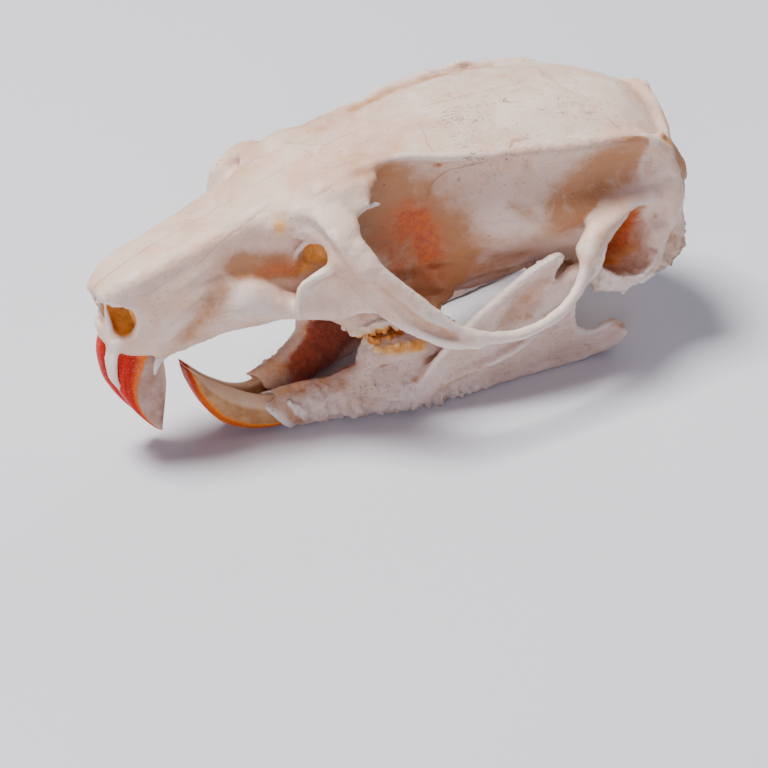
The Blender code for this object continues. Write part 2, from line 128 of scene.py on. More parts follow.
class BoneField:
    """Distance to the bone's surface on a grid, below zero inside. Shapes are given for the
    right side of the head, and a field whose side is -1 makes them on the left."""

    def __init__(self, low, high, step, side=1):
        self.low = np.array(low, float)
        self.step = step
        self.side = side
        self.axes = [np.arange(a, b, step) for a, b in zip(low, high)]
        self.value = np.full([len(axis) for axis in self.axes], FAR, np.float32)
        self.draft = np.full(self.value.shape, FAR, np.float32)

    def grid(self):
        """The coordinates of all grid points, each laid along its own axis."""
        x, y, z = self.axes
        return x[:, None, None], y[None, :, None], z[None, None, :]

    def near(self, low, high):
        """The part of the grid between two corners, with its coordinates."""
        spans = tuple(slice(*np.searchsorted(axis, (a, b)))
                      for axis, a, b in zip(self.axes, low, high))
        x, y, z = [axis[span] for axis, span in zip(self.axes, spans)]
        return spans, x[:, None, None], y[None, :, None], z[None, None, :]

    def settle(self, low, high, blend, carve):
        """Join the drafted shape to the bone, or carve it out, and clear the draft."""
        spans = self.near(low, high)[0]
        here = self.value[spans]
        shape = self.draft[spans]
        if carve:
            meet = np.maximum(blend - np.abs(here + shape), 0.0)
            self.value[spans] = np.maximum(here, -shape) + meet * meet / (4.0 * blend)
        else:
            meet = np.maximum(blend - np.abs(here - shape), 0.0)
            self.value[spans] = np.minimum(here, shape) - meet * meet / (4.0 * blend)
        self.draft[spans] = FAR

    def rod(self, rows, blend=0.5, carve=False, steps=20):
        """An oval rod along a smooth path. A row is a place on it, x, y, z, and the rod's half
        widths there, across and upright."""
        rows = np.array(rows, float) * (1.0, self.side, 1.0, 1.0, 1.0)
        centres = smooth_curve(rows[:, :3], steps)
        halves = np.maximum(smooth_curve(rows[:, 3:], steps), THINNEST)
        big = halves.max() + blend + MARGIN
        for a, b, ra, rb in zip(centres, centres[1:], halves, halves[1:]):
            ahead = b - a
            length = np.linalg.norm(ahead)
            ahead = ahead / length
            up = np.array([0.0, 0.0, 1.0])
            if abs(ahead.dot(up)) > 0.95:
                up = np.array([1.0, 0.0, 0.0])
            across = np.cross(up, ahead)
            across /= np.linalg.norm(across)
            up = np.cross(ahead, across)
            spans, x, y, z = self.near(np.minimum(a, b) - big, np.maximum(a, b) + big)
            x, y, z = x - a[0], y - a[1], z - a[2]
            along = x * ahead[0] + y * ahead[1] + z * ahead[2]
            t = np.clip(along / length, 0.0, 1.0)
            past = along - t * length
            u = x * across[0] + y * across[1] + z * across[2]
            v = x * up[0] + y * up[1] + z * up[2]
            ru = ra[0] + (rb[0] - ra[0]) * t
            rv = ra[1] + (rb[1] - ra[1]) * t
            rw = np.minimum(ru, rv)
            near = np.sqrt((u / ru) ** 2 + (v / rv) ** 2 + (past / rw) ** 2)
            slope = np.sqrt((u / ru ** 2) ** 2 + (v / rv ** 2) ** 2 + (past / rw ** 2) ** 2)
            distance = near * (near - 1.0) / np.maximum(slope, 1e-6)
            self.draft[spans] = np.minimum(self.draft[spans], distance)
        self.settle(centres.min(0) - big, centres.max(0) + big, blend, carve)

    def ball(self, centre, radii, blend=0.5, carve=False):
        """An egg shape with its half widths along x, y and z."""
        centre = np.array(centre, float) * (1.0, self.side, 1.0)
        radii = np.array(radii, float)
        low, high = centre - radii - blend - MARGIN, centre + radii + blend + MARGIN
        spans, x, y, z = self.near(low, high)
        u, v, w = x - centre[0], y - centre[1], z - centre[2]
        near = np.sqrt((u / radii[0]) ** 2 + (v / radii[1]) ** 2 + (w / radii[2]) ** 2)
        slope = np.sqrt((u / radii[0] ** 2) ** 2 + (v / radii[1] ** 2) ** 2
                        + (w / radii[2] ** 2) ** 2)
        self.draft[spans] = near * (near - 1.0) / np.maximum(slope, 1e-6)
        self.settle(low, high, blend, carve)

    def plate(self, outline, middle, half, blend=0.5, carve=False):
        """A thin sheet with an outline in x and z. middle(x, z) gives the y of its middle, and
        half is half of its thickness."""
        outline = np.array(outline, float)
        (left, bottom), (right, top) = outline.min(0) - 2.0, outline.max(0) + 2.0
        spans, x, y, z = self.near((left, self.axes[1][0], bottom),
                                   (right, self.axes[1][-1] + 1.0, top))
        edge = np.full((x.shape[0], 1, z.shape[2]), 1e9)
        inside = np.zeros(edge.shape, bool)
        for (ax, az), (bx, bz) in zip(outline, np.roll(outline, -1, axis=0)):
            ex, ez = bx - ax, bz - az
            t = np.clip(((x - ax) * ex + (z - az) * ez) / (ex * ex + ez * ez), 0.0, 1.0)
            edge = np.minimum(edge, (x - ax - t * ex) ** 2 + (z - az - t * ez) ** 2)
            inside ^= ((az > z) != (bz > z)) & (x < ax + (z - az) * ex / (ez if ez else 1e-9))
        edge = np.where(inside, -1.0, 1.0) * np.sqrt(edge)
        u = edge + ROUNDING
        v = np.abs(y - self.side * middle(x, z)) - half + ROUNDING
        self.draft[spans] = (np.sqrt(np.maximum(u, 0.0) ** 2 + np.maximum(v, 0.0) ** 2)
                             + np.minimum(np.maximum(u, v), 0.0) - ROUNDING)
        self.settle([axis.min() - 0.001 for axis in (x, y, z)],
                    [axis.max() + 0.001 for axis in (x, y, z)], blend, carve)

    def cut(self, distance):
        """Take away the bone wherever distance, worked out on the grid, is above zero."""
        self.value = np.maximum(self.value, distance.astype(np.float32))

    def loft(self, rings, blend=0.5):
        """A body through closed rings of equal size, capped at both ends."""
        rings = np.asarray(rings, float)
        count = rings.shape[1]
        points = np.vstack([rings.reshape(-1, 3), rings[0].mean(0), rings[-1].mean(0)])
        quads = []
        caps = []
        for r in range(len(rings) - 1):
            for i in range(count):
                j = (i + 1) % count
                quads.append((r * count + i, r * count + j, (r + 1) * count + j,
                              (r + 1) * count + i))
        last = (len(rings) - 1) * count
        for i in range(count):
            j = (i + 1) % count
            caps.append((j, i, len(points) - 2))
            caps.append((last + i, last + j, len(points) - 1))
        grid = openvdb.FloatGrid.createLevelSetFromPolygons(
            ((points - self.low) / self.step).astype(np.float32),
            triangles=np.array(caps, np.uint32), quads=np.array(quads, np.uint32),
            halfWidth=FAR / self.step)
        loft = np.full(self.value.shape, FAR / self.step, np.float32)
        grid.copyToArray(loft)
        self.draft[...] = np.minimum(loft * self.step, FAR)
        self.settle(self.low - 1.0, [axis[-1] + 1.0 for axis in self.axes], blend, False)

    def crowding(self, reach):
        """How much bone lies within reach of each grid point, from 0 to 1."""
        solid = (self.value < 0.0).astype(np.float32)
        width = max(1, int(round(reach / self.step)))
        for axis in range(3):
            for _ in range(2):
                total = np.cumsum(np.pad(solid, [(width + 1, width) if a == axis else (0, 0)
                                                 for a in range(3)], mode="edge"), axis=axis)
                length = solid.shape[axis]
                ahead = np.take(total, range(2 * width + 1, 2 * width + 1 + length), axis=axis)
                behind = np.take(total, range(0, length), axis=axis)
                solid = (ahead - behind) / (2 * width + 1)
        return solid

    def sample(self, values, points):
        """Values between grid points, at places in millimetres."""
        place = (points - self.low) / self.step
        place = np.clip(place, 0.0, np.array(self.value.shape) - 1.001)
        base = place.astype(int)
        part = place - base
        result = np.zeros(len(points))
        for corner in range(8):
            step = np.array([(corner >> k) & 1 for k in range(3)])
            share = np.prod(np.where(step, part, 1.0 - part), axis=1)
            index = base + step
            result += share * values[index[:, 0], index[:, 1], index[:, 2]]
        return result

    def skin(self, fineness):
        """Points and faces of the surface, and the outward direction at each point."""
        grid = openvdb.FloatGrid(FAR)
        grid.copyFromArray(self.value)
        points, triangles, quads = grid.convertToPolygons(0.0, adaptivity=fineness)
        points = points.astype(float) * self.step + self.low
        slopes = np.stack([self.sample(g, points) for g in np.gradient(self.value)], axis=1)
        slopes /= np.maximum(np.linalg.norm(slopes, axis=1, keepdims=True), 1e-6)
        return points, [list(t) for t in triangles] + [list(q) for q in quads], slopes


# The cranium: one thin-walled bony shell from the nasal tips to the back of the head, with the
# two cheek arches standing off it. Roof and nose are smooth, the orbit walls paper thin.
# Cross-sections give x, the midline height, then (y, z) of the dorsal ridge, the waist under
# it, the widest bulge and the lower corner, the base height, and the right ridge's lift.
trunk_sections = (
    (0.5, 13.3, (1.2, 12.9), (1.6, 12.2), (1.5, 11.0), (1.2, 9.2), 9.0, 0.0),
    (1.6, 13.9, (1.6, 13.3), (2.0, 12.1), (1.95, 10.2), (1.7, 8.7), 8.5, 0.0),
    (3.4, 14.7, (1.9, 13.9), (2.4, 12.2), (2.4, 9.8), (1.8, 8.1), 7.9, 0.0),
    (5.2, 15.3, (2.1, 14.4), (2.6, 12.6), (2.6, 10.2), (1.8, 7.9), 7.6, 0.0),
    (8.0, 16.2, (2.4, 15.3), (2.7, 13.4), (2.8, 10.8), (2.0, 8.4), 8.1, 0.0),
    (11.0, 17.2, (2.6, 16.4), (2.7, 14.6), (2.9, 11.2), (2.2, 8.3), 8.0, 0.0),
    (14.0, 18.1, (2.9, 17.5), (2.8, 15.6), (2.8, 11.8), (2.7, 8.6), 8.2, 0.0),
    (17.0, 18.9, (3.2, 18.4), (2.6, 16.6), (2.6, 13.0), (2.8, 9.4), 8.4, -0.2),
    (20.0, 19.3, (3.7, 18.8), (2.8, 16.6), (2.7, 13.0), (2.7, 9.6), 8.5, -0.2),
    (23.0, 19.6, (4.5, 18.6), (3.8, 16.6), (3.9, 12.8), (2.8, 9.2), 8.5, 0.1),
    (26.0, 19.8, (5.3, 18.3), (5.3, 16.2), (5.8, 12.8), (3.2, 8.9), 8.4, 0.35),
    (29.0, 19.8, (5.7, 18.1), (6.0, 16.0), (6.7, 12.4), (3.6, 8.6), 8.2, 0.45),
    (33.0, 19.5, (6.0, 17.6), (6.3, 15.5), (7.1, 12.0), (4.0, 7.4), 7.4, 0.45),
    (37.0, 18.9, (6.1, 17.0), (6.3, 14.9), (6.8, 11.6), (4.2, 7.1), 7.1, 0.4),
    (39.6, 18.1, (5.9, 15.5), (6.2, 13.4), (6.4, 10.8), (4.0, 6.9), 6.9, 0.2),
    (41.6, 16.8, (4.8, 14.2), (5.4, 12.3), (5.5, 9.8), (3.4, 7.0), 6.8, 0.0),
    (42.8, 15.0, (3.2, 13.4), (3.9, 11.8), (4.0, 9.6), (2.6, 7.6), 7.2, 0.0),
)
LAP_STEPS = 200
RING_POINTS = 48
trunk_rings = []
for x, top, ridge, waist, bulge, corner, base, lift in trunk_sections:
    half = [waist, bulge, corner]
    outline = ([(0.0, top), (ridge[0], ridge[1] + lift)] + half + [(0.0, base)]
               + [(-y, z) for y, z in reversed([ridge] + half)])
    outline = np.array(outline)
    # One lap round the outline, with a few points repeated so that it closes smoothly
    lap = smooth_curve(np.vstack([outline[-3:], outline, outline[:4]]), LAP_STEPS + 1)
    around = (np.linspace(3.0, 3.0 + len(outline), RING_POINTS + 1)[:-1]
              / (len(outline) + 6.0) * LAP_STEPS)
    trunk_rings.append([(x, *lap[int(round(k))]) for k in around])
trunk_rings = np.array(trunk_rings)
trunk_columns = [smooth_curve(trunk_rings[:, k], 70) for k in range(trunk_rings.shape[1])]

bone = BoneField((-1.2, -11.9, 3.4), (45.4, 12.0, 21.0), 0.17)
bone.loft(np.array(trunk_columns).transpose(1, 0, 2))
for side in (-1, 1):
    bone.side = side
    # Nose: each nasal arched from side to side and rounded off in front, the premaxilla
    # below it in two soft folds, one under the nasal and one over the incisor root
    bone.rod([(0.62, 0.6, 12.9, 0.75, 0.66), (2.2, 1.0, 13.65, 1.05, 0.74),
              (6.0, 1.2, 14.75, 1.15, 0.75), (10.5, 1.5, 16.2, 1.15, 0.7),
              (14.6, 1.9, 17.3, 0.9, 0.5)], 0.5, steps=30)
    bone.rod([(2.4, 1.75, 11.9, 0.35, 0.35), (4.4, 2.1, 12.8, 0.45, 0.5),
              (7.0, 2.3, 13.9, 0.3, 0.3)], 0.6)
    bone.rod([(1.9, 1.4, 9.4, 0.5, 0.8), (3.0, 1.75, 10.5, 0.85, 1.1), (5.0, 2.2, 11.2, 0.95, 1.3),
              (7.6, 2.75, 11.4, 0.95, 1.4), (9.4, 3.15, 11.2, 1.05, 1.35),
              (10.6, 3.3, 10.8, 0.7, 1.0)], 0.7, steps=26)
    # Lower edge of the premaxilla, drawn out to a point beside the tooth
    bone.rod([(4.4, 1.6, 8.3, 0.3, 0.5), (3.7, 1.72, 8.0, 0.25, 0.4), (3.25, 1.8, 7.5, 0.2, 0.25),
              (3.08, 1.82, 6.75, 0.1, 0.12)], 0.25)
    # Root of the cheek: maxilla below the foramen, the thin plate and its thick front rim
    bone.rod([(9.6, 3.2, 10.6, 0.9, 0.9), (11.6, 3.6, 10.2, 0.9, 0.9), (13.4, 4.2, 9.8, 0.7, 0.7),
              (15.4, 4.5, 9.3, 0.8, 0.7)], 0.8)
    bone.plate([(12.5, 9.5), (12.0, 10.2), (11.8, 11.2), (11.75, 12.1), (12.05, 12.6),
                (12.7, 13.0),
                (13.5, 13.4), (14.2, 14.2), (15.6, 14.4), (16.6, 13.4), (17.0, 11.8), (16.9, 10.0),
                (16.4, 8.9), (14.0, 9.1)],
               lambda x, z: (4.35 + 0.44 * (z - 8.9) - 0.028 * (z - 8.9) ** 2
                             - 0.75 * np.exp(-((x - 14.1) / 1.8) ** 2 - ((z - 11.4) / 1.4) ** 2)
                             + 0.10 * (x - 14.0)), 0.22)
    bone.rod([(12.15, 4.6, 9.6, 0.16, 0.2), (11.85, 4.95, 10.6, 0.15, 0.2),
              (11.78, 5.3, 11.65, 0.15, 0.2), (12.0, 5.5, 12.45, 0.17, 0.2),
              (12.7, 5.7, 12.95, 0.22, 0.22), (13.5, 6.0, 13.35, 0.34, 0.3),
              (14.05, 6.35, 14.1, 0.5, 0.4)], 0.3, steps=26)
    # Web that closes the corner between the plate and the blade of the arch
    bone.plate([(14.6, 9.6), (15.4, 9.5), (16.6, 10.0), (17.6, 10.1), (18.6, 9.6), (18.4, 10.6),
                (17.2, 12.0), (15.8, 13.4), (14.8, 12.0)],
               lambda x, z: 4.75 + 1.25 * np.maximum(0.0, x - 14.8) + 0.12 * (z - 10.0), 0.45, 1.3)
    # Upper root: from the snout out over the foramen, then the bar in front of the orbit
    bone.rod([(13.4, 2.4, 16.6, 1.7, 0.7), (14.2, 3.8, 16.8, 1.5, 0.65),
              (14.5, 5.2, 16.6, 1.35, 0.6), (14.6, 6.2, 16.0, 1.2, 0.6),
              (14.85, 6.85, 14.95, 0.95, 0.7), (15.3, 7.5, 13.9, 0.85, 0.85)], 0.9, steps=26)
    if side < 0:
        bone.rod([(16.0, 5.1, 16.7, 0.34, 0.28), (16.4, 5.3, 16.8, 0.30, 0.24),
                  (16.75, 5.45, 16.85, 0.24, 0.2)], 0.2, steps=10)
    else:
        bone.rod([(11.8, 6.5, 13.9, 0.5, 0.4), (12.3, 6.6, 15.1, 0.6, 0.5),
                  (13.2, 6.5, 15.95, 0.6, 0.5), (14.6, 6.4, 16.25, 0.7, 0.5),
                  (15.9, 6.1, 15.7, 0.7, 0.5), (17.2, 5.0, 16.4, 0.8, 0.5)], 0.8, steps=26)
        bone.rod([(11.9, 5.5, 13.4, 0.8, 0.9), (12.9, 5.6, 14.4, 0.9, 1.0),
                  (14.2, 5.4, 15.2, 1.0, 0.9), (15.6, 4.9, 15.6, 0.8, 0.7)], 0.6)
    # Bone between the roof's edge and the bar, in front of the orbit
    bone.rod([(14.2, 3.4, 17.2, 0.9, 0.6), (15.6, 3.9, 17.2, 0.9, 0.7),
              (16.3, 4.4, 16.9, 0.75, 0.65), (16.4, 4.9, 16.2, 0.6, 0.55),
              (16.1, 5.3, 15.2, 0.45, 0.4)], 0.9)
    bone.rod([(14.8, 3.1, 17.8, 0.8, 0.6), (16.0, 3.7, 17.6, 0.9, 0.8),
              (17.0, 4.05, 17.5, 0.8, 0.75), (17.9, 4.0, 17.9, 0.4, 0.4)], 1.1)
    # Arch: a deep blade at the front, a thin rail below the orbit, a broad band behind
    bone.rod([(15.0, 6.9, 14.9, 0.55, 0.8), (15.9, 8.1, 13.3, 0.5, 0.85),
              (17.4, 8.9, 11.6, 0.42, 0.85), (19.2, 9.5, 9.8, 0.38, 0.72),
              (21.2, 10.0, 8.35, 0.36, 0.55), (23.6, 10.3, 7.5, 0.36, 0.42),
              (26.2, 10.35, 7.25, 0.36, 0.36), (28.8, 10.1, 7.75, 0.36, 0.40),
              (30.4, 9.7, 8.8, 0.38, 0.42), (31.3, 9.3, 10.0, 0.42, 0.55),
              (32.3, 8.7, 11.1, 0.5, 0.9), (34.2, 7.8, 12.1, 0.55, 1.15),
              (36.2, 6.9, 12.7, 0.5, 0.8)], 0.45, steps=60)
    # Lower facet of the blade, turned outwards, with a groove between it and the upper one
    bone.rod([(14.6, 6.2, 13.0, 0.2, 0.4), (15.5, 7.2, 12.3, 0.28, 0.9),
              (16.8, 8.3, 11.0, 0.3, 1.05), (18.3, 9.2, 9.5, 0.28, 0.85),
              (20.2, 9.9, 8.1, 0.26, 0.5), (22.2, 10.25, 7.5, 0.22, 0.3)], 0.9, steps=30)
    bone.rod([(15.3, 8.1, 12.8, 0.15, 0.25), (16.3, 9.0, 11.7, 0.40, 0.42),
              (17.9, 9.55, 10.05, 0.42, 0.45), (19.8, 10.15, 8.8, 0.36, 0.32),
              (21.6, 10.65, 8.05, 0.15, 0.2)], 0.25, carve=True, steps=26)
    # Shelf from the arch's hind root along the side of the braincase, over the ear
    bone.rod([(31.6, 8.8, 11.0, 0.7, 0.6), (33.4, 8.0, 12.1, 0.8, 0.7),
              (35.6, 7.2, 12.7, 0.7, 0.6), (37.6, 6.8, 12.5, 0.6, 0.5),
              (39.4, 6.5, 11.8, 0.4, 0.4)], 0.9)
    bone.rod([(35.2, 7.3, 12.1, 0.4, 0.4), (34.4, 7.5, 11.1, 0.4, 0.4),
              (33.9, 7.5, 9.8, 0.4, 0.45), (33.5, 7.2, 8.2, 0.35, 0.4),
              (33.3, 6.6, 7.0, 0.3, 0.3)], 0.5)
    # Roof edges and the crest across the back of the head
    lift = 0.4 if side > 0 else 0.0
    bone.rod([(15.6, 3.0, 18.2, 0.3, 0.2), (18.4, 3.4, 18.7, 0.35, 0.22),
              (20.6, 3.95, 18.85, 0.35, 0.22), (22.6, 4.6, 18.5, 0.3, 0.22),
              (26.0, 5.45, 18.2 + lift, 0.3, 0.22), (29.0, 5.85, 17.9 + lift, 0.3, 0.22),
              (32.6, 6.1, 17.4 + lift, 0.3, 0.24), (36.2, 6.25, 17.05 + lift, 0.36, 0.3),
              (38.0, 6.4, 16.5, 0.45, 0.4), (39.6, 6.5, 15.3, 0.4, 0.4)], 0.7, steps=46)
    bone.rod([(42.1, 0.0, 16.9, 0.3, 0.3), (41.9, 1.6, 16.5, 0.32, 0.3),
              (41.4, 3.4, 15.8, 0.32, 0.3), (40.5, 5.0, 15.4, 0.34, 0.32),
              (39.8, 6.1, 15.0, 0.42, 0.4), (40.2, 6.6, 13.7, 0.5, 0.5),
              (40.6, 6.5, 12.2, 0.55, 0.55), (40.75, 6.3, 10.6, 0.55, 0.6),
              (40.8, 6.0, 8.8, 0.45, 0.5)], 0.9, steps=40)
    if side > 0:
        bone.rod([(22.9, 4.5, 18.7, 0.25, 0.2), (24.0, 4.9, 18.95, 0.32, 0.28),
                  (25.6, 5.2, 18.85, 0.3, 0.25), (27.4, 5.5, 19.0, 0.32, 0.28),
                  (29.2, 5.7, 18.85, 0.3, 0.25), (30.8, 5.85, 18.95, 0.32, 0.28),
                  (32.0, 5.95, 18.5, 0.3, 0.24), (34.0, 6.05, 18.15, 0.3, 0.24),
                  (36.4, 6.2, 17.6, 0.25, 0.2)], 0.5, steps=40)
    else:
        bone.rod([(39.4, 5.9, 16.2, 0.3, 0.35), (40.2, 6.1, 15.0, 0.35, 0.45),
                  (40.95, 6.25, 13.7, 0.36, 0.5), (41.35, 6.2, 12.7, 0.3, 0.4)], 0.25, steps=20)
    # Low ridge along the underside, from behind the teeth to the ear
    bone.rod([(24.4, 2.3, 7.2, 0.4, 0.45), (26.2, 2.2, 6.85, 0.45, 0.5),
              (28.6, 2.1, 6.75, 0.45, 0.5), (31.0, 2.0, 6.85, 0.45, 0.5),
              (33.0, 1.9, 7.1, 0.3, 0.3)], 0.8)
    # Ear capsule, mastoid corner, hook beside the condyle, and the condyle
    bone.ball((36.9, 5.1, 7.8), (3.3, 2.75, 2.75), 0.4)
    bone.rod([(34.2, 4.4, 6.3, 1.0, 0.8), (32.6, 3.6, 6.4, 0.6, 0.5),
              (31.2, 2.9, 6.9, 0.3, 0.3)], 0.5)
    bone.rod([(40.0, 6.5, 12.2, 1.0, 0.7), (39.9, 6.6, 10.4, 0.95, 0.65),
              (39.5, 6.7, 9.2, 0.6, 0.45), (39.2, 6.75, 8.4, 0.25, 0.25)], 0.7)
    bone.rod([(40.8, 5.6, 9.4, 1.0, 0.9), (41.2, 5.5, 7.9, 0.9, 0.8), (40.9, 5.3, 6.6, 0.75, 0.7),
              (40.4, 5.1, 5.9, 0.5, 0.5)], 0.6)
    bone.rod([(39.6, 6.2, 8.4, 0.4, 0.4), (40.2, 5.9, 7.2, 0.5, 0.5),
              (40.0, 5.6, 6.2, 0.4, 0.4)], 0.3)
    bone.rod([(42.2, 2.9, 8.3, 0.7, 0.8), (43.1, 2.6, 7.3, 0.85, 0.9), (42.9, 2.0, 6.1, 0.7, 0.8),
              (42.0, 1.5, 5.9, 0.5, 0.5)], 0.5)
    # Palate: tooth ridge, and the two blades behind it
    bone.rod([(14.6, 3.4, 9.2, 0.8, 0.7), (15.9, 3.6, 8.6, 1.15, 1.0),
              (17.2, 3.6, 7.95, 1.35, 1.1), (19.6, 3.6, 7.7, 1.35, 1.1),
              (22.0, 3.45, 7.35, 1.2, 1.0), (24.0, 3.2, 7.4, 0.7, 0.7)], 0.6)
    bone.rod([(15.6, 2.8, 9.0, 1.0, 0.9), (18.6, 2.6, 8.9, 1.0, 0.9), (21.6, 2.6, 8.7, 1.0, 0.9),
              (24.6, 2.7, 8.5, 0.8, 0.8)], 0.6)
    bone.plate([(23.4, 9.2), (24.0, 8.3), (24.8, 8.0), (25.3, 8.3), (26.2, 7.9), (27.2, 7.8),
                (27.7, 8.0), (28.6, 7.5), (29.2, 7.1), (29.8, 7.3), (29.6, 8.0), (28.6, 9.2)],
               lambda x, z: 1.85 + 0.07 * (x - 23.4), 0.26)
    bone.plate([(22.6, 9.6), (23.6, 8.1), (25.0, 7.9), (26.4, 8.1), (28.0, 8.0), (30.0, 8.0),
                (31.4, 8.4), (31.4, 9.4)],
               lambda x, z: 3.5 + 0.03 * (x - 23.4), 0.26)

for side in (-1, 1):
    bone.side = side
    # Hollow in front of the orbit with its foramen, and the valley down the snout's side
    bone.rod([(8.9, 4.3, 14.0, 0.9, 0.8), (10.6, 4.1, 13.9, 1.4, 1.25),
              (12.4, 4.0, 13.6, 1.3, 1.25), (14.2, 4.2, 13.3, 0.85, 1.0)], 0.22, carve=True)
    bone.rod([(12.4, 4.2, 13.4, 0.8, 1.0), (14.0, 4.5, 13.6, 0.85, 1.1),
              (16.4, 4.7, 13.2, 0.8, 1.1), (18.6, 5.0, 12.8, 1.0, 1.4)], 0.25, carve=True)
    bone.rod([(11.2, 2.9, 15.7, 0.4, 0.5), (12.8, 3.6, 15.5, 0.6, 0.65),
              (14.0, 4.4, 15.4, 0.7, 0.7), (14.9, 5.2, 15.1, 0.6, 0.6)], 0.9)
    bone.rod([(12.7, 2.3, 12.2, 0.18, 0.18), (12.85, 2.75, 12.6, 0.18, 0.18),
              (12.8, 3.1, 13.4, 0.18, 0.18), (13.05, 3.6, 14.2, 0.18, 0.18),
              (13.45, 4.2, 14.75, 0.18, 0.18), (13.75, 4.9, 15.0, 0.18, 0.18),
              (13.85, 5.6, 14.75, 0.18, 0.18), (13.8, 6.1, 14.2, 0.18, 0.18)], 0.5, steps=26)
    bone.rod([(13.6, 4.6, 15.4, 0.4, 0.45), (14.0, 5.3, 15.3, 0.45, 0.5),
              (14.1, 6.0, 14.8, 0.45, 0.45), (14.1, 6.4, 14.2, 0.35, 0.35)], 0.4)
    bone.ball((14.5, 2.9, 12.95), (1.05, 0.8, 0.95), 0.1, carve=True)
    bone.rod([(8.4, 4.2, 13.6, 0.8, 0.8), (7.3, 4.15, 12.3, 0.9, 0.9), (6.0, 3.95, 10.6, 0.9, 0.9),
              (4.9, 3.5, 9.0, 0.7, 0.7)], 0.9, carve=True)
    # Orbit scooped into the side of the head, and the hollow of the temple behind it
    bone.rod([(17.9, 5.3, 14.9, 1.9, 1.9), (20.2, 5.6, 14.0, 2.7, 2.5),
              (22.2, 5.8, 12.2, 2.4, 2.3), (23.0, 5.8, 10.2, 1.9, 1.9)], 0.8, carve=True)
    bone.rod([(22.6, 6.3, 15.4, 1.3, 1.6), (25.6, 7.3, 15.4, 1.5, 1.9),
              (29.0, 8.1, 15.1, 1.75, 2.0), (32.4, 8.3, 14.8, 2.1, 2.0),
              (35.2, 8.1, 14.6, 2.3, 2.0), (37.2, 7.9, 14.3, 2.1, 1.8)], 0.7, carve=True, steps=30)
    if side < 0:
        bone.rod([(16.3, 5.15, 16.75, 0.28, 0.22), (17.1, 5.0, 16.6, 0.24, 0.2),
                  (17.9, 4.95, 16.5, 0.16, 0.14)], 0.15)
    # Ear: a deep recess behind the arch root, leading into the hollow capsule
    bone.ball((36.4, 8.1, 9.6), (2.35, 2.9, 2.5), 0.3, carve=True)
    bone.ball((36.6, 7.3, 8.9), (2.3, 2.7, 1.9), 0.3, carve=True)
    bone.ball((35.7, 5.2, 8.9), (1.7, 2.1, 1.8), 0.7, carve=True)
    bone.rod([(38.9, 6.3, 9.4, 0.7, 0.6), (38.8, 6.1, 8.2, 0.8, 0.6), (38.3, 5.9, 7.0, 0.8, 0.6),
              (37.4, 5.7, 6.2, 0.6, 0.5)], 0.6)
    bone.rod([(41.0, 5.6, 8.6, 0.35, 0.4), (42.0, 5.2, 7.6, 0.5, 0.6), (42.2, 4.9, 6.4, 0.4, 0.55),
              (41.6, 4.9, 5.5, 0.35, 0.4), (40.5, 5.2, 5.1, 0.2, 0.2)], 0.4, steps=20)
    for lump_x, lump_y, lump_z, lump_r in ((38.5, 6.9, 7.6, 0.42), (39.3, 6.8, 8.5, 0.36),
                                           (37.9, 6.7, 6.5, 0.38),
                                           (39.6, 6.3, 7.0, 0.5), (38.9, 6.3, 6.0, 0.4),
                                           (40.6, 6.2, 7.6, 0.45),
                                           (41.2, 5.9, 8.8, 0.4), (40.2, 6.1, 6.3, 0.35),
                                           (41.7, 5.5, 6.2, 0.3)):
        bone.ball((lump_x, lump_y, lump_z), (lump_r, lump_r * 0.8, lump_r * 1.2), 0.35)
    # Shreds of dried tissue and broken bone under the capsule
    shreds = np.random.default_rng(7 + side)
    for _ in range(46):
        ahead, out = shreds.uniform(-0.72, 0.78), shreds.uniform(-0.1, 0.62)
        down = math.sqrt(max(0.1, 1.0 - ahead * ahead - out * out))
        thick = shreds.uniform(0.10, 0.30)
        bone.ball((36.9 + 3.3 * ahead, 5.1 + 2.75 * out, 7.8 - 2.75 * down),
                  (thick * 1.3, thick, thick * 0.8), 0.2)
    bone.rod([(36.8, 6.0, 5.5, 0.25, 0.2), (36.9, 6.0, 5.0, 0.14, 0.14),
              (36.85, 6.0, 4.7, 0.16, 0.12)], 0.15, steps=8)
    bone.ball((39.4, 5.9, 13.5), (1.0, 0.7, 1.0), 0.9)
    # Small canals: above the orbit and behind the palate
    bone.ball((22.7, 4.5, 17.6), (0.24, 0.6, 0.24), 0.15, carve=True)
    bone.ball((24.3, 4.6, 16.3), (0.14, 0.5, 0.14), 0.1, carve=True)
    bone.rod([(7.4, 0.65, 7.6, 0.3, 0.7), (10.2, 0.75, 7.7, 0.36, 0.8),
              (13.2, 0.75, 8.0, 0.2, 0.6)], 0.25, carve=True)
    bone.ball((19.6, 1.4, 8.3), (0.4, 0.25, 0.5), 0.2, carve=True)
    bone.rod([(25.0, 2.75, 7.8, 0.35, 0.5), (27.4, 2.8, 7.9, 0.5, 0.7),
              (29.8, 2.9, 8.2, 0.4, 0.4)], 0.3, carve=True)
    bone.ball((39.6, 3.1, 7.2), (0.7, 0.4, 0.9), 0.2, carve=True)

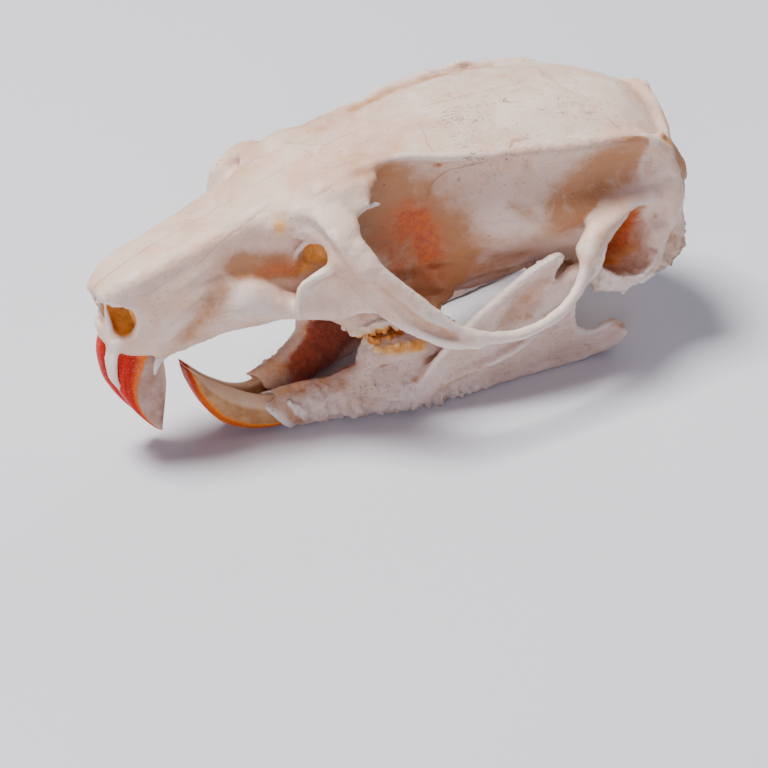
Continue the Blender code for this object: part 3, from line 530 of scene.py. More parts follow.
# Nasal opening and passage, inner nares, brain cavity and the great opening at the back
bone.plate([(-1.0, 12.3), (0.4, 12.42), (1.1, 12.3), (1.75, 12.0), (1.98, 11.5), (1.95, 10.8),
            (1.7, 10.2), (1.2, 9.8),
            (0.5, 9.7), (-1.0, 9.7)], lambda x, z: -1.55, 1.05, 0.1, carve=True)
bone.plate([(-1.0, 12.2), (0.9, 12.2), (1.2, 11.8), (1.1, 11.0), (0.7, 10.7), (-1.0, 10.7)],
           lambda x, z: 0.75, 0.6, 0.1, carve=True)
bone.rod([(0.6, 0.0, 10.95, 1.55, 1.2), (2.0, 0.0, 10.9, 1.65, 1.3), (4.4, 0.0, 11.5, 1.7, 1.6),
          (8.4, 0.0, 13.0, 1.5, 1.7), (12.0, 0.0, 13.6, 1.2, 1.4)], 0.2, carve=True)
for scroll_x, scroll_y, scroll_z, scroll_r in ((3.2, -0.7, 11.2, 1.1), (3.0, -0.9, 10.3, 0.7),
                                               (3.0, 0.6, 11.3, 0.9)):
    bone.ball((scroll_x, scroll_y, scroll_z), (scroll_r, scroll_r * 0.8, scroll_r), 0.3)
bone.rod([(24.6, 0.0, 8.2, 1.2, 0.7), (27.0, 0.0, 8.9, 1.1, 0.8),
          (30.5, 0.0, 9.2, 0.6, 0.5)], 0.3, carve=True)
bone.ball((32.5, 0.0, 13.2), (8.6, 4.9, 4.6), 0.3, carve=True)
bone.rod([(38.0, 0.0, 11.0, 2.2, 2.1), (41.4, 0.0, 9.6, 2.0, 1.9),
          (44.6, 0.0, 8.6, 2.1, 1.9)], 0.4, carve=True)
# Rim of the nasal opening, the dried septum across it, and the film of bone left on the front
# of the left incisor, broken away beside it
for side, rim in ((-1, [(2.0, 1.6, 12.2), (2.1, 1.85, 11.5), (2.05, 1.9, 10.8), (1.75, 1.8, 10.1),
                        (1.25, 1.4, 9.6), (0.9, 0.6, 9.4)]),
                  (1,
                   [(0.42, 1.05, 12.5), (0.48, 1.0, 11.9), (0.6, 0.85, 11.3), (0.72, 0.55, 10.75),
                    (0.82, 0.2, 10.3), (0.85, 0.1, 9.6)])):
    bone.side = side
    bone.rod([(*place, 0.11, 0.12) for place in rim], 0.15, steps=24)
bone.side = 1
bone.rod([(0.66, -0.2, 12.6, 0.16, 0.14), (0.70, -0.22, 11.6, 0.13, 0.14),
          (0.78, -0.24, 10.7, 0.24, 0.2), (0.86, -0.3, 9.5, 0.6, 0.3)], 0.12, steps=16)
for line_y, widths in ((-0.42, (0.5, 0.46, 0.45, 0.42, 0.30, 0.08)),
                       (-1.14, (0.5, 0.45, 0.42, 0.34, 0.14, 0.06))):
    film = ((0.98, line_y, 9.7), (0.70, line_y, 8.8), (0.55, line_y, 7.8), (0.62, line_y, 6.8),
            (0.92, line_y * 0.9, 6.0), (1.55, line_y * 0.8, 5.1))
    bone.rod([(*place, width, 0.22 - 0.02 * row)
              for row, (place, width) in enumerate(zip(film, widths))], 0.25, steps=24)
bone.rod([(1.2, 0.75, 9.7, 0.6, 0.3), (0.9, 0.8, 9.2, 0.5, 0.16)], 0.15, steps=8)


def stain(points, path, reach):
    """1 on a smooth path, fading to 0 at a distance, for tints and marks that sit in one place."""
    path = smooth_curve(path, 6 * len(path)) if len(path) > 2 else np.asarray(path, float)
    near = np.full(len(points), 1e9)
    for a, b in zip(path, path[1:]) if len(path) > 1 else [(path[0], path[0])]:
        ab = b - a
        t = np.clip((points - a) @ ab / max(ab @ ab, 1e-9), 0.0, 1.0)
        near = np.minimum(near, np.linalg.norm(points - a - t[:, None] * ab, axis=1))
    return np.exp(-(near / reach) ** 2)


def rise(values, low, high):
    """0 below low and 1 above high, with a smooth slope between."""
    t = np.clip((values - low) / (high - low), 0.0, 1.0)
    return t * t * (3.0 - 2.0 * t)


def ruffle(points, outward, depth, size, seed):
    """Small unevenness of the surface, as grown and dried bone has. depth may differ by point."""
    shift = Vector((seed, seed * 0.7, seed * 1.3))
    amount = np.array([noise.fractal(Vector(p) / size + shift, 0.6, 2.0, 3) for p in points])
    return points + outward * (amount * depth)[:, None]


def make_skin(name, points, faces, material, marks, turn=0.0):
    """A mesh in metres in the skull's frame, with its marks as values on the points."""
    place = (points - np.array([NOSE_TO_CENTRE, 0.0, 0.0])) * 0.001
    if turn:
        c, s = math.cos(turn), math.sin(turn)
        place = np.stack([place[:, 0] * c - place[:, 1] * s, place[:, 0] * s + place[:, 1] * c,
                          place[:, 2]], axis=1)
    mesh = bpy.data.meshes.new(name)
    mesh.from_pydata(place.tolist(), [], faces)
    for mark, values in marks.items():
        layer = mesh.attributes.new(mark, "FLOAT", "POINT")
        layer.data.foreach_set("value", np.clip(values, 0.0, 1.0).astype(np.float32))
    mesh.materials.append(material)
    shape = bmesh.new()
    shape.from_mesh(mesh)
    bmesh.ops.recalc_face_normals(shape, faces=shape.faces)
    shape.to_mesh(mesh)
    shape.free()
    mesh.shade_smooth()
    piece = bpy.data.objects.new(name, mesh)
    bpy.context.scene.collection.objects.link(piece)
    return piece


# Dry bone, cleaned by burial and left unbleached: cream to pinkish white where it is thick,
# amber where the wall is so thin that light comes through, brown where soil stayed behind,
# and darker brown in tight corners and hollows as painted shade.
def add_node(tree, kind, links=(), **values):
    """A node with its settings and, by input name, its values or the sockets that feed it."""
    node = tree.nodes.new(kind)
    for key, value in values.items():
        setattr(node, key, value)
    for name, source in dict(links).items():
        socket = node.inputs[name]
        if isinstance(source, bpy.types.NodeSocket):
            tree.links.new(source, socket)
        else:
            socket.default_value = source
    return node


def noise_at(tree, vector, scale, detail=3.0, roughness=0.55, distortion=0.0):
    """Cloudy values about 0.5."""
    node = add_node(tree, "ShaderNodeTexNoise",
                    {"Vector": vector, "Scale": scale, "Detail": detail,
                     "Roughness": roughness, "Distortion": distortion})
    return node.outputs["Fac"]


def span_to(tree, value, low, high, bottom=0.0, top=1.0):
    """A value led smoothly from bottom at low to top at high."""
    node = add_node(tree, "ShaderNodeMapRange", {"Value": value, "From Min": low, "From Max": high,
                                                 "To Min": bottom, "To Max": top},
                    interpolation_type="SMOOTHSTEP")
    return node.outputs["Result"]


def reckon(tree, operation, first, second=0.0):
    node = add_node(tree, "ShaderNodeMath", {0: first, 1: second}, operation=operation)
    return node.outputs["Value"]


def plus(tree, first, second):
    return reckon(tree, "ADD", first, second)


def less(tree, first, second):
    return reckon(tree, "SUBTRACT", first, second)


def times(tree, first, second):
    return reckon(tree, "MULTIPLY", first, second)


def blend_colour(tree, share, first, second):
    """The first colour, with the second over it by a share."""
    node = tree.nodes.new("ShaderNodeMix")
    node.data_type = "RGBA"
    for index, source in ((0, share), (6, first), (7, second)):
        if isinstance(source, bpy.types.NodeSocket):
            tree.links.new(source, node.inputs[index])
        else:
            node.inputs[index].default_value = source
    return node.outputs[2]


def new_group(name, inputs, outputs):
    """A node group with its named sockets, what it is given, and where its results go."""
    group = bpy.data.node_groups.new(name, "ShaderNodeTree")
    for label, kind in inputs:
        group.interface.new_socket(label, in_out="INPUT", socket_type="NodeSocket" + kind)
    for label, kind in outputs:
        group.interface.new_socket(label, in_out="OUTPUT", socket_type="NodeSocket" + kind)
    return group, group.nodes.new("NodeGroupInput").outputs, group.nodes.new("NodeGroupOutput")


bone_grain, given, result = new_group(
    "bone grain", [("Vector", "Vector"), ("Stretch", "Vector"), ("Speck Share", "Float")],
    [("Mottle", "Float"), ("Fibre", "Float"), ("Speck", "Float"), ("Height", "Float")])
fine = add_node(bone_grain, "ShaderNodeVectorMath", {0: given["Vector"], 1: given["Stretch"]},
                operation="MULTIPLY").outputs["Vector"]
mottle = noise_at(bone_grain, given["Vector"], 0.28, 4.0, 0.6, 0.6)
fibre = noise_at(bone_grain, fine, 1.0, 5.0, 0.62)
grit = noise_at(bone_grain, given["Vector"], 7.0, 3.0, 0.6)
pores = add_node(bone_grain, "ShaderNodeTexVoronoi", {"Vector": given["Vector"], "Scale": 1.9,
                                                      "Randomness": 1.0})
pore_here = noise_at(bone_grain, given["Vector"], 0.55, 2.0)
pore = times(bone_grain, span_to(bone_grain, pores.outputs["Distance"], 0.16, 0.05),
             span_to(bone_grain, pore_here, 0.50, 0.62))
fleck_place = add_node(bone_grain, "ShaderNodeMapping",
                       {"Vector": given["Vector"], "Rotation": (0.3, 0.2, 0.7),
                        "Scale": (1.0, 2.6,
                                  1.6)}).outputs["Vector"]
fleck = noise_at(bone_grain, fleck_place, 1.5, 4.0, 0.75, 1.6)
fleck_here = noise_at(bone_grain, given["Vector"], 0.30, 2.0)
speck = times(bone_grain,
              span_to(bone_grain, plus(bone_grain, fleck, times(bone_grain, fleck_here, 0.35)),
                      0.765, 0.81), given["Speck Share"])
height = plus(bone_grain, times(bone_grain, fibre, 0.6),
              times(bone_grain, grit, 0.35))
height = less(bone_grain, height, times(bone_grain, pore, 0.7))
speck = reckon(bone_grain, "MAXIMUM", speck, times(bone_grain, pore, 0.35))
for label, source in (("Mottle", mottle), ("Fibre", fibre), ("Speck", speck), ("Height", height)):
    bone_grain.links.new(source, result.inputs[label])


def make_bone(name, white, cream, stretch, roughness,
              thin_light=(0.64, 0.125, 0.012, 1.0), thin_dark=(0.47, 0.068, 0.014, 1.0)):
    """A bone material that reads the marks painted on the points of the mesh."""
    material = bpy.data.materials.new(name)
    material.use_nodes = True
    tree = material.node_tree
    shader = tree.nodes["Principled BSDF"]
    where = tree.nodes.new("ShaderNodeTexCoord").outputs["Object"]
    in_mm = add_node(tree, "ShaderNodeVectorMath", {0: where, "Scale": 1000.0},
                     operation="SCALE").outputs["Vector"]
    mark = {label: add_node(tree, "ShaderNodeAttribute", attribute_name=label).outputs["Fac"]
            for label in ("hollow_shade", "amber", "ochre", "umber", "crust", "pale", "speck", "seam",
                          "seam_near")}
    grain = add_node(tree, "ShaderNodeGroup", node_tree=bone_grain)
    tree.links.new(in_mm, grain.inputs["Vector"])
    grain.inputs["Stretch"].default_value = stretch
    tree.links.new(mark["speck"], grain.inputs["Speck Share"])
    mottle, fibre = grain.outputs["Mottle"], grain.outputs["Fibre"]
    colour = blend_colour(tree, span_to(tree, mottle, 0.35, 0.68), white, cream)
    colour = blend_colour(tree, span_to(tree, fibre, 0.42, 0.72, 0.0, 0.34), colour,
                          (0.62, 0.46, 0.36, 1.0))
    ragged = times(tree, less(tree, noise_at(tree, in_mm, 0.7, 7.0, 0.68, 0.5), 0.5), 2.0)

    def patch(share, low, high, top):
        return span_to(tree, plus(tree, share, times(tree, ragged, share)), low, high, 0.0, top)

    colour = blend_colour(tree, patch(mark["pale"], 0.25, 0.85, 0.65), colour,
                          (0.84, 0.74, 0.68, 1.0))
    # Painted shade: tight corners and hollows turn brown by their mark
    colour = blend_colour(tree, patch(mark["hollow_shade"], 0.12, 0.75, 0.85), colour,
                          (0.43, 0.20, 0.09, 1.0))
    colour = blend_colour(tree, patch(mark["umber"], 0.15, 0.95, 0.85), colour,
                          (0.46, 0.175, 0.042, 1.0))
    veins = span_to(tree, noise_at(tree, in_mm, 2.2, 6.0, 0.7, 0.8), 0.40, 0.66)
    ochre_tint = blend_colour(tree, veins, (1.0, 0.51, 0.08, 1.0), (0.88, 0.31, 0.035, 1.0))
    amber_tint = blend_colour(tree, veins, thin_light, thin_dark)
    colour = blend_colour(tree, patch(mark["ochre"], 0.20, 0.80, 0.95), colour, ochre_tint)
    colour = blend_colour(tree, patch(mark["amber"], 0.15, 0.90, 0.95), colour, amber_tint)
    colour = blend_colour(tree, patch(mark["crust"], 0.30, 0.75, 0.95), colour,
                          (0.17, 0.075, 0.032, 1.0))
    colour = blend_colour(tree, times(tree, grain.outputs["Speck"], 0.75), colour,
                          (0.25, 0.15, 0.10, 1.0))
    waver = times(tree, less(tree, noise_at(tree, in_mm, 1.4, 3.0, 0.6), 0.5), 0.16)
    seam_place = reckon(tree, "ABSOLUTE", plus(tree, less(tree, mark["seam"], 0.5), waver))
    seam = times(tree, times(tree, span_to(tree, seam_place, 0.055, 0.02), mark["seam_near"]),
                 span_to(tree, noise_at(tree, in_mm, 0.5, 2.0), 0.30, 0.50))
    colour = blend_colour(tree, times(tree, seam, 0.75), colour, (0.42, 0.22, 0.09, 1.0))
    tree.links.new(colour, shader.inputs["Base Color"])
    gloss = plus(tree, span_to(tree, fibre, 0.3, 0.7, roughness - 0.08, roughness + 0.10),
                 times(tree, mark["crust"], 0.3))
    tree.links.new(gloss, shader.inputs["Roughness"])
    rough = plus(tree, less(tree, grain.outputs["Height"], seam),
                 times(tree, times(tree, ragged, mark["crust"]), 4.0))
    bump = add_node(tree, "ShaderNodeBump", {"Height": rough, "Strength": 1.0, "Distance": 0.0001})
    tree.links.new(bump.outputs["Normal"], shader.inputs["Normal"])
    shader.inputs["Subsurface Weight"].default_value = 0.12
    shader.inputs["Subsurface Radius"].default_value = (1.0, 0.45, 0.22)
    shader.inputs["Subsurface Scale"].default_value = 0.0009
    shader.inputs["Specular IOR Level"].default_value = 0.45
    return material


cranium_bone = make_bone("cranium bone", (0.80, 0.60, 0.50, 1.0), (0.72, 0.46, 0.32, 1.0),
                         (0.55, 1.6, 1.6), 0.46)

points, faces, outward = bone.skin(0.015)
tight = bone.sample(bone.crowding(0.45), points)
wide = bone.sample(bone.crowding(1.5), points)
x, y, z = points.T
left_and_right = np.stack([x, -np.abs(y), z], axis=1)


def painted(strength, reach, *paths):
    """Marks along paths on both sides of the head, given for the left one."""
    total = np.zeros(len(points))
    for path in paths:
        total = np.maximum(total, stain(left_and_right, path, reach))
    return strength * total


def facing(centre, reach):
    """1 on the walls of a hollow, where the surface looks at the hollow's middle."""
    inwards = np.array(centre) - left_and_right
    distance = np.linalg.norm(inwards, axis=1)
    folded = outward * np.stack([np.ones(len(points)), np.where(points[:, 1] > 0.0, -1.0, 1.0),
                                 np.ones(len(points))], axis=1)
    toward = np.sum(inwards * folded, axis=1) / np.maximum(distance, 1e-6)
    return rise(toward, 0.0, 0.5) * rise(-distance, -reach, -0.8 * reach)


ear = facing((36.3, -5.9, 8.9), 3.9)
ear_deep = ear * (1.0 - 0.7 * rise(x, 36.9, 38.7)) * (1.0 - 0.55 * rise(-z, -8.0, -6.8))
outside = np.abs(outward[:, 1])


def seams(lines, flat, where):
    """How far each point lies from the nearest of some lines drawn flat on two axes, with a
    sign for the side it is on, as seam 0.5 on the line, and how near it is, as seam_near."""
    off = 9.0
    nearest = np.full(len(points), off)
    signed = np.zeros(len(points))
    place = points[:, flat]
    for line in lines:
        line = smooth_curve(line, 6 * len(line))
        for a, b in zip(line, line[1:]):
            ab = b - a
            t = np.clip((place - a) @ ab / max(ab @ ab, 1e-9), 0.0, 1.0)
            gap = place - a - t[:, None] * ab
            far = np.linalg.norm(gap, axis=1)
            side_of = np.sign(ab[0] * (place - a)[:, 1] - ab[1] * (place - a)[:, 0])
            signed = np.where(far < nearest, side_of * far, signed)
            nearest = np.minimum(nearest, far)
    return np.where(where, signed, off), np.where(where, nearest, off)


# Seams where the bones of the head met, and dried cracks, on the roof and on both sides
roof_seam, roof_gap = seams(
    [[(22.5, 4.4), (22.9, 3.2), (23.1, 2.0), (23.2, 0.9), (23.2, -0.6), (22.8, -2.4),
      (22.3, -4.2)],
     [(0.4, 0.0), (5.0, 0.05), (10.0, -0.05), (15.6, 0.0), (23.2, 0.1), (28.0, -0.1), (34.6, 0.1)],
     [(15.4, 2.2), (16.2, 1.2), (15.9, 0.2), (16.3, -1.0), (15.6, -2.2)],
     [(36.0, 5.6), (35.4, 3.4), (34.8, 1.6), (34.8, -1.6), (35.4, -3.4), (36.2, -5.6)],
     [(31.4, 2.3), (32.3, 1.5), (33.2, 1.6), (34.0, 1.0)],
     [(32.2, 0.6), (32.9, 1.5), (33.0, 2.2)]],
    [0, 1], (outward[:, 2] > 0.3) & (z > 12.5))
side_seam, side_gap = seams(
    [[(6.2, 14.3), (7.9, 15.4), (10.0, 16.4), (12.5, 17.4), (15.0, 18.2)],
     [(22.4, 15.2), (22.7, 16.2), (23.8, 17.2), (25.3, 17.7)]],
    [0, 2], (outside > 0.12) & (outward[:, 2] < 0.95))
crack, crack_gap = seams(
    [[(28.9, -1.0), (29.3, -1.4), (29.7, -2.1), (30.5, -2.2)], [(29.3, -1.9), (30.1, -1.7)],
     [(28.7, -4.2), (28.3, -4.7), (28.5, -5.1), (28.0, -5.4)], [(28.6, -4.9), (29.1, -5.2)],
     [(27.6, -4.5), (27.9, -5.1), (27.5, -5.5)]],
    [0, 1], (outward[:, 2] > 0.3) & (z > 12.5))
seam = np.where(roof_gap < side_gap, roof_seam, side_seam)
seam = np.where(crack_gap < np.minimum(roof_gap, side_gap), crack, seam)
seam_near = (rise(-np.minimum(roof_gap, side_gap), -0.5, -0.3)
             * np.where(roof_gap < side_gap, 0.42, 0.22 + 0.33 * rise(x, 18.0, 20.0)))
seam_near = np.maximum(seam_near, rise(-crack_gap, -0.35, -0.15))

orbit_wall = painted(1.0, 3.5,
                     [(18.6, -3.0, 15.6), (20.6, -3.2, 13.8), (22.6, -3.6, 11.6),
                      (23.4, -3.6, 9.4)])
flake = painted(1.0, 0.55, [(16.6, -5.1, 16.7), (17.9, -4.95, 16.5)])

# Amber is light through a thin wall
amber = np.maximum.reduce([
    painted(1.0, 1.5, [(21.5, -2.9, 13.6), (22.2, -3.2, 12.2), (22.7, -3.4, 10.8)]),
    painted(0.5, 2.2, [(20.0, -2.8, 12.6), (21.6, -3.2, 9.4), (23.0, -3.2, 9.0)]),
    1.7 * ear * painted(1.0, 1.6, [(35.6, -5.9, 10.9), (36.6, -4.8, 10.0), (36.4, -4.4, 8.9)]),
    painted(0.55, 0.7, [(10.2, -2.7, 12.9), (13.0, -3.0, 12.2)]),
    painted(1.2, 0.34, [(22.7, -4.3, 17.6)])])

# Ochre is the yellow of bone soaked by soil
ochre = np.maximum.reduce([
    painted(1.2, 1.0, [(14.5, -2.3, 12.9), (15.4, -2.6, 12.6)]),
    1.0 * facing((3.4, 0.0, 11.2), 3.4) * rise(x, 0.9, 1.5),
    painted(1.0, 0.55, [(11.6, -3.4, 15.9)]),
    painted(0.75, 0.8, [(13.6, -2.8, 12.2), (14.8, -2.9, 12.1), (16.2, -3.3, 12.1)]),
    painted(1.0, 0.5, [(1.6, -1.3, 10.1), (1.9, -1.4, 11.4)]),
    1.2 * stain(points, [(2.0, -0.9, 11.4), (2.2, -0.6, 10.4)], 1.0) * rise(x, 0.9, 1.6),
    0.62 * ear * painted(1.0, 1.2, [(35.6, -5.2, 6.8), (37.4, -5.2, 6.8), (38.6, -5.4, 7.6)])])

# Umber is brown rubbed into the surface: soil in most places, painted shade where noted below
umber = np.maximum.reduce([
    1.3 * orbit_wall * (1.0 - flake), 1.0 * ear_deep,
    painted(1.25, 1.0, [(8.7, -2.8, 13.7), (10.6, -2.6, 12.9), (13.0, -2.8, 12.4)]),
    # Brown down the valley on the snout's side: partly stain, partly painted shade in the valley
    painted(0.68, 1.2, [(7.4, -2.8, 12.4), (6.4, -2.8, 11.1), (5.2, -2.7, 9.4)]),
    # Brown on the temple under the overhanging ridge: partly stain, partly painted shade under the
    # overhang
    0.95 * rise(outside, 0.5, 0.8) * rise(-x, -38.3, -37.5)
    * 1.25 * painted(1.0, 2.5,
                     [(31.8, -7.0, 13.4), (33.8, -6.9, 14.4), (35.4, -6.6, 15.2),
                      (36.8, -6.4, 15.6)]),
    # Painted shade: a faint brown line just under the roof's overhanging edge
    painted(0.35, 0.8, [(25.0, -5.6, 16.6), (29.0, -6.0, 16.4), (33.0, -6.4, 16.2)]),
    painted(0.55, 0.6, [(28.4, -6.0, 17.0), (28.8, -6.1, 15.8)],
            [(27.2, -6.0, 14.6), (29.4, -6.8, 12.8)]),
    painted(0.8, 1.4, [(24.0, -3.6, 9.6), (26.0, -4.2, 8.8), (28.6, -4.8, 8.8)]),
    painted(0.8, 1.1, [(23.8, -2.0, 8.4), (26.4, -2.0, 8.0), (29.6, -2.2, 7.4)]),
    painted(0.7, 1.1, [(24.8, -2.2, 7.0), (27.6, -2.1, 6.6), (31.0, -1.9, 6.6)]),
    painted(0.6, 1.2, [(18.2, -3.2, 17.2), (21.0, -3.4, 17.0)]),
    painted(0.6, 0.9, [(30.6, -7.6, 10.9), (31.6, -7.4, 10.2)]),
    # The groove between the arch blade's two facets is darker brown
    painted(0.75, 0.5,
            [(15.4, -8.6, 12.9), (16.8, -9.2, 11.3), (18.4, -9.6, 9.8), (20.4, -10.2, 8.6)]),
    0.75 * stain(points,
                 [(20.6, 3.2, 19.1), (24.0, 4.2, 19.1), (29.0, 4.9, 18.9), (33.0, 5.3, 18.2)],
                 0.55),
    painted(1.15, 1.1, [(39.8, -5.8, 15.4), (40.7, -6.3, 14.0), (41.4, -6.6, 12.6)])
    * rise(outward[:, 0], 0.2, 0.6),
    painted(0.8, 0.7, [(41.9, -3.0, 15.9), (41.2, -5.2, 15.0)]),
    painted(0.75, 1.0, [(40.0, -6.2, 9.4), (40.8, -5.9, 7.6), (40.4, -5.6, 6.0)],
            [(42.2, -5.0, 7.6), (42.0, -5.0, 5.4)]),
    1.3 * stain(points,
                [(39.6, -6.25, 16.3), (40.4, -6.3, 15.0), (41.2, -6.35, 13.7), (41.6, -6.3, 12.8)],
                0.42),
    painted(0.4, 0.5, [(24.2, -2.2, 19.2), (25.4, -3.8, 18.9), (26.4, -5.2, 18.4)])])

# Crust is dark soil that stands on the bone
crust = np.maximum.reduce([
    painted(0.5, 0.8,
            [(42.2, -5.0, 7.4), (42.3, -4.7, 6.0), (41.4, -5.0, 5.1), (40.2, -5.2, 4.9)]),
    painted(0.6, 1.0, [(41.2, -5.4, 8.2), (40.8, -5.3, 6.4)]),
    painted(0.5, 0.9, [(39.8, -6.0, 7.6), (41.4, -5.6, 9.2)]),
    painted(0.4, 0.7, [(38.4, -6.0, 6.4), (39.2, -6.2, 7.6)]),
    0.8 * stain(points, [(42.6, 0.8, 15.0), (42.8, -1.0, 14.2)], 0.7),
    painted(0.6, 0.5, [(16.4, -4.9, 7.6), (18.4, -5.0, 7.9), (20.6, -4.9, 7.4)]),
    painted(0.5, 0.4, [(13.0, -3.4, 12.0), (14.6, -3.4, 12.3)])])

# Edges and ridges are pale, tight corners and hollows get brown painted shade, and the roof
# is specked
pale = rise(-tight, -0.40, -0.26)
pale = np.maximum(pale, painted(0.8, 1.2, [(8.4, -3.6, 11.6), (9.8, -3.9, 11.0)]))
pale = np.maximum(pale,
                  painted(1.2, 1.4, [(34.8, -6.6, 6.4), (36.4, -6.5, 5.8), (38.0, -6.2, 5.6)]))
pale = np.maximum(pale,
                  0.5 * rise(x, 22.6, 23.4) * rise(z, 17.0, 18.0) * rise(outward[:, 2], 0.3, 0.6))
pale = pale * (1.0 - ear)
hollow_shade = np.maximum.reduce([
    rise(tight, 0.58, 0.78), 0.7 * rise(wide, 0.60, 0.78),
    # Painted shade along the plate's upper margin and down the valley on the snout's side
    painted(0.42, 0.6, [(12.8, -5.2, 12.1), (14.0, -5.6, 12.7), (15.4, -6.4, 12.8)]),
    painted(0.30, 1.2, [(6.8, -2.9, 12.2), (6.2, -2.9, 11.0), (5.0, -2.7, 9.4)])])
speck = np.maximum(rise(x, 22.0, 25.0) * rise(-x, -38.0, -34.0) * rise(z, 17.0, 18.2), 0.35)

# Where the bone is broken or shredded, its surface is rougher
crumble = np.maximum(painted(1.0, 1.0, [(35.6, -5.9, 5.0), (37.6, -5.9, 4.8), (39.4, -5.2, 5.0)],
                             [(35.0, -7.0, 6.6), (37.0, -6.9, 6.2), (38.8, -6.5, 6.4)]),
                     painted(1.25, 1.3, [(41.2, -5.6, 8.4), (42.0, -5.0, 6.6), (40.8, -5.2, 5.4)],
                             [(39.6, -6.2, 7.0), (38.6, -6.5, 6.6)]))
crumble = np.maximum(crumble, painted(0.5, 0.9, [(16.4, -4.6, 7.2), (20.6, -4.6, 7.0)]))
points = ruffle(points, outward, 0.05 + 0.10 * crumble, 1.6, 3.0)
points = ruffle(points, outward, 0.035 + 0.30 * crumble, 0.5, 9.0)
cranium = make_skin("cranium_bone", points, faces, cranium_bone,
                    {"hollow_shade": hollow_shade, "amber": amber, "ochre": ochre, "umber": umber,
                     "crust": crust,
                     "pale": pale, "speck": speck, "seam": 0.5 + 0.5 * seam,
                     "seam_near": seam_near})
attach(cranium, "root")
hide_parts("cranium")


# The lower jaw: two separate halves that never fuse at the chin. Each is a low beam holding
# the long incisor, with a thin plate behind it for the muscles. They rest on the table on
# their lower edges and sit a few degrees askew under the head.
JAW_TURN = math.radians(3.5)
# The jaw's amber tints are darker than the cranium's: painted shade on the inner faces of the
# halves, which lie under the head
jaw_bone = make_bone("jaw bone", (0.79, 0.62, 0.56, 1.0), (0.68, 0.47, 0.37, 1.0), (0.5, 1.8, 1.8),
                     0.42,
                     thin_light=(0.44, 0.075, 0.024, 1.0), thin_dark=(0.27, 0.034, 0.018, 1.0))
ramus_outline = [(20.8, 3.8), (22.4, 5.7), (24.2, 7.5), (26.0, 8.9), (27.6, 9.9), (28.8, 10.55),
                 (29.6, 10.75),
                 (29.9, 10.35), (29.7, 9.5), (29.7, 8.6), (30.3, 8.05), (31.2, 8.3), (32.2, 8.6),
                 (32.9, 8.2), (32.7, 7.0), (32.2, 5.8), (32.3, 4.6), (32.6, 3.6), (33.1, 2.9),
                 (33.8, 2.4),
                 (34.6, 2.25), (35.4, 2.45), (36.2, 2.55), (36.9, 2.1), (37.2, 1.4), (36.9, 0.8),
                 (36.2, 0.4),
                 (34.8, 0.2), (33.0, 0.2), (31.0, 0.15), (27.2, 0.35), (24.0, 0.1), (20.6, 0.3),
                 (19.6, 1.4)]
ramus_outline = smooth_curve(ramus_outline + ramus_outline[:1], 120)[:-1]
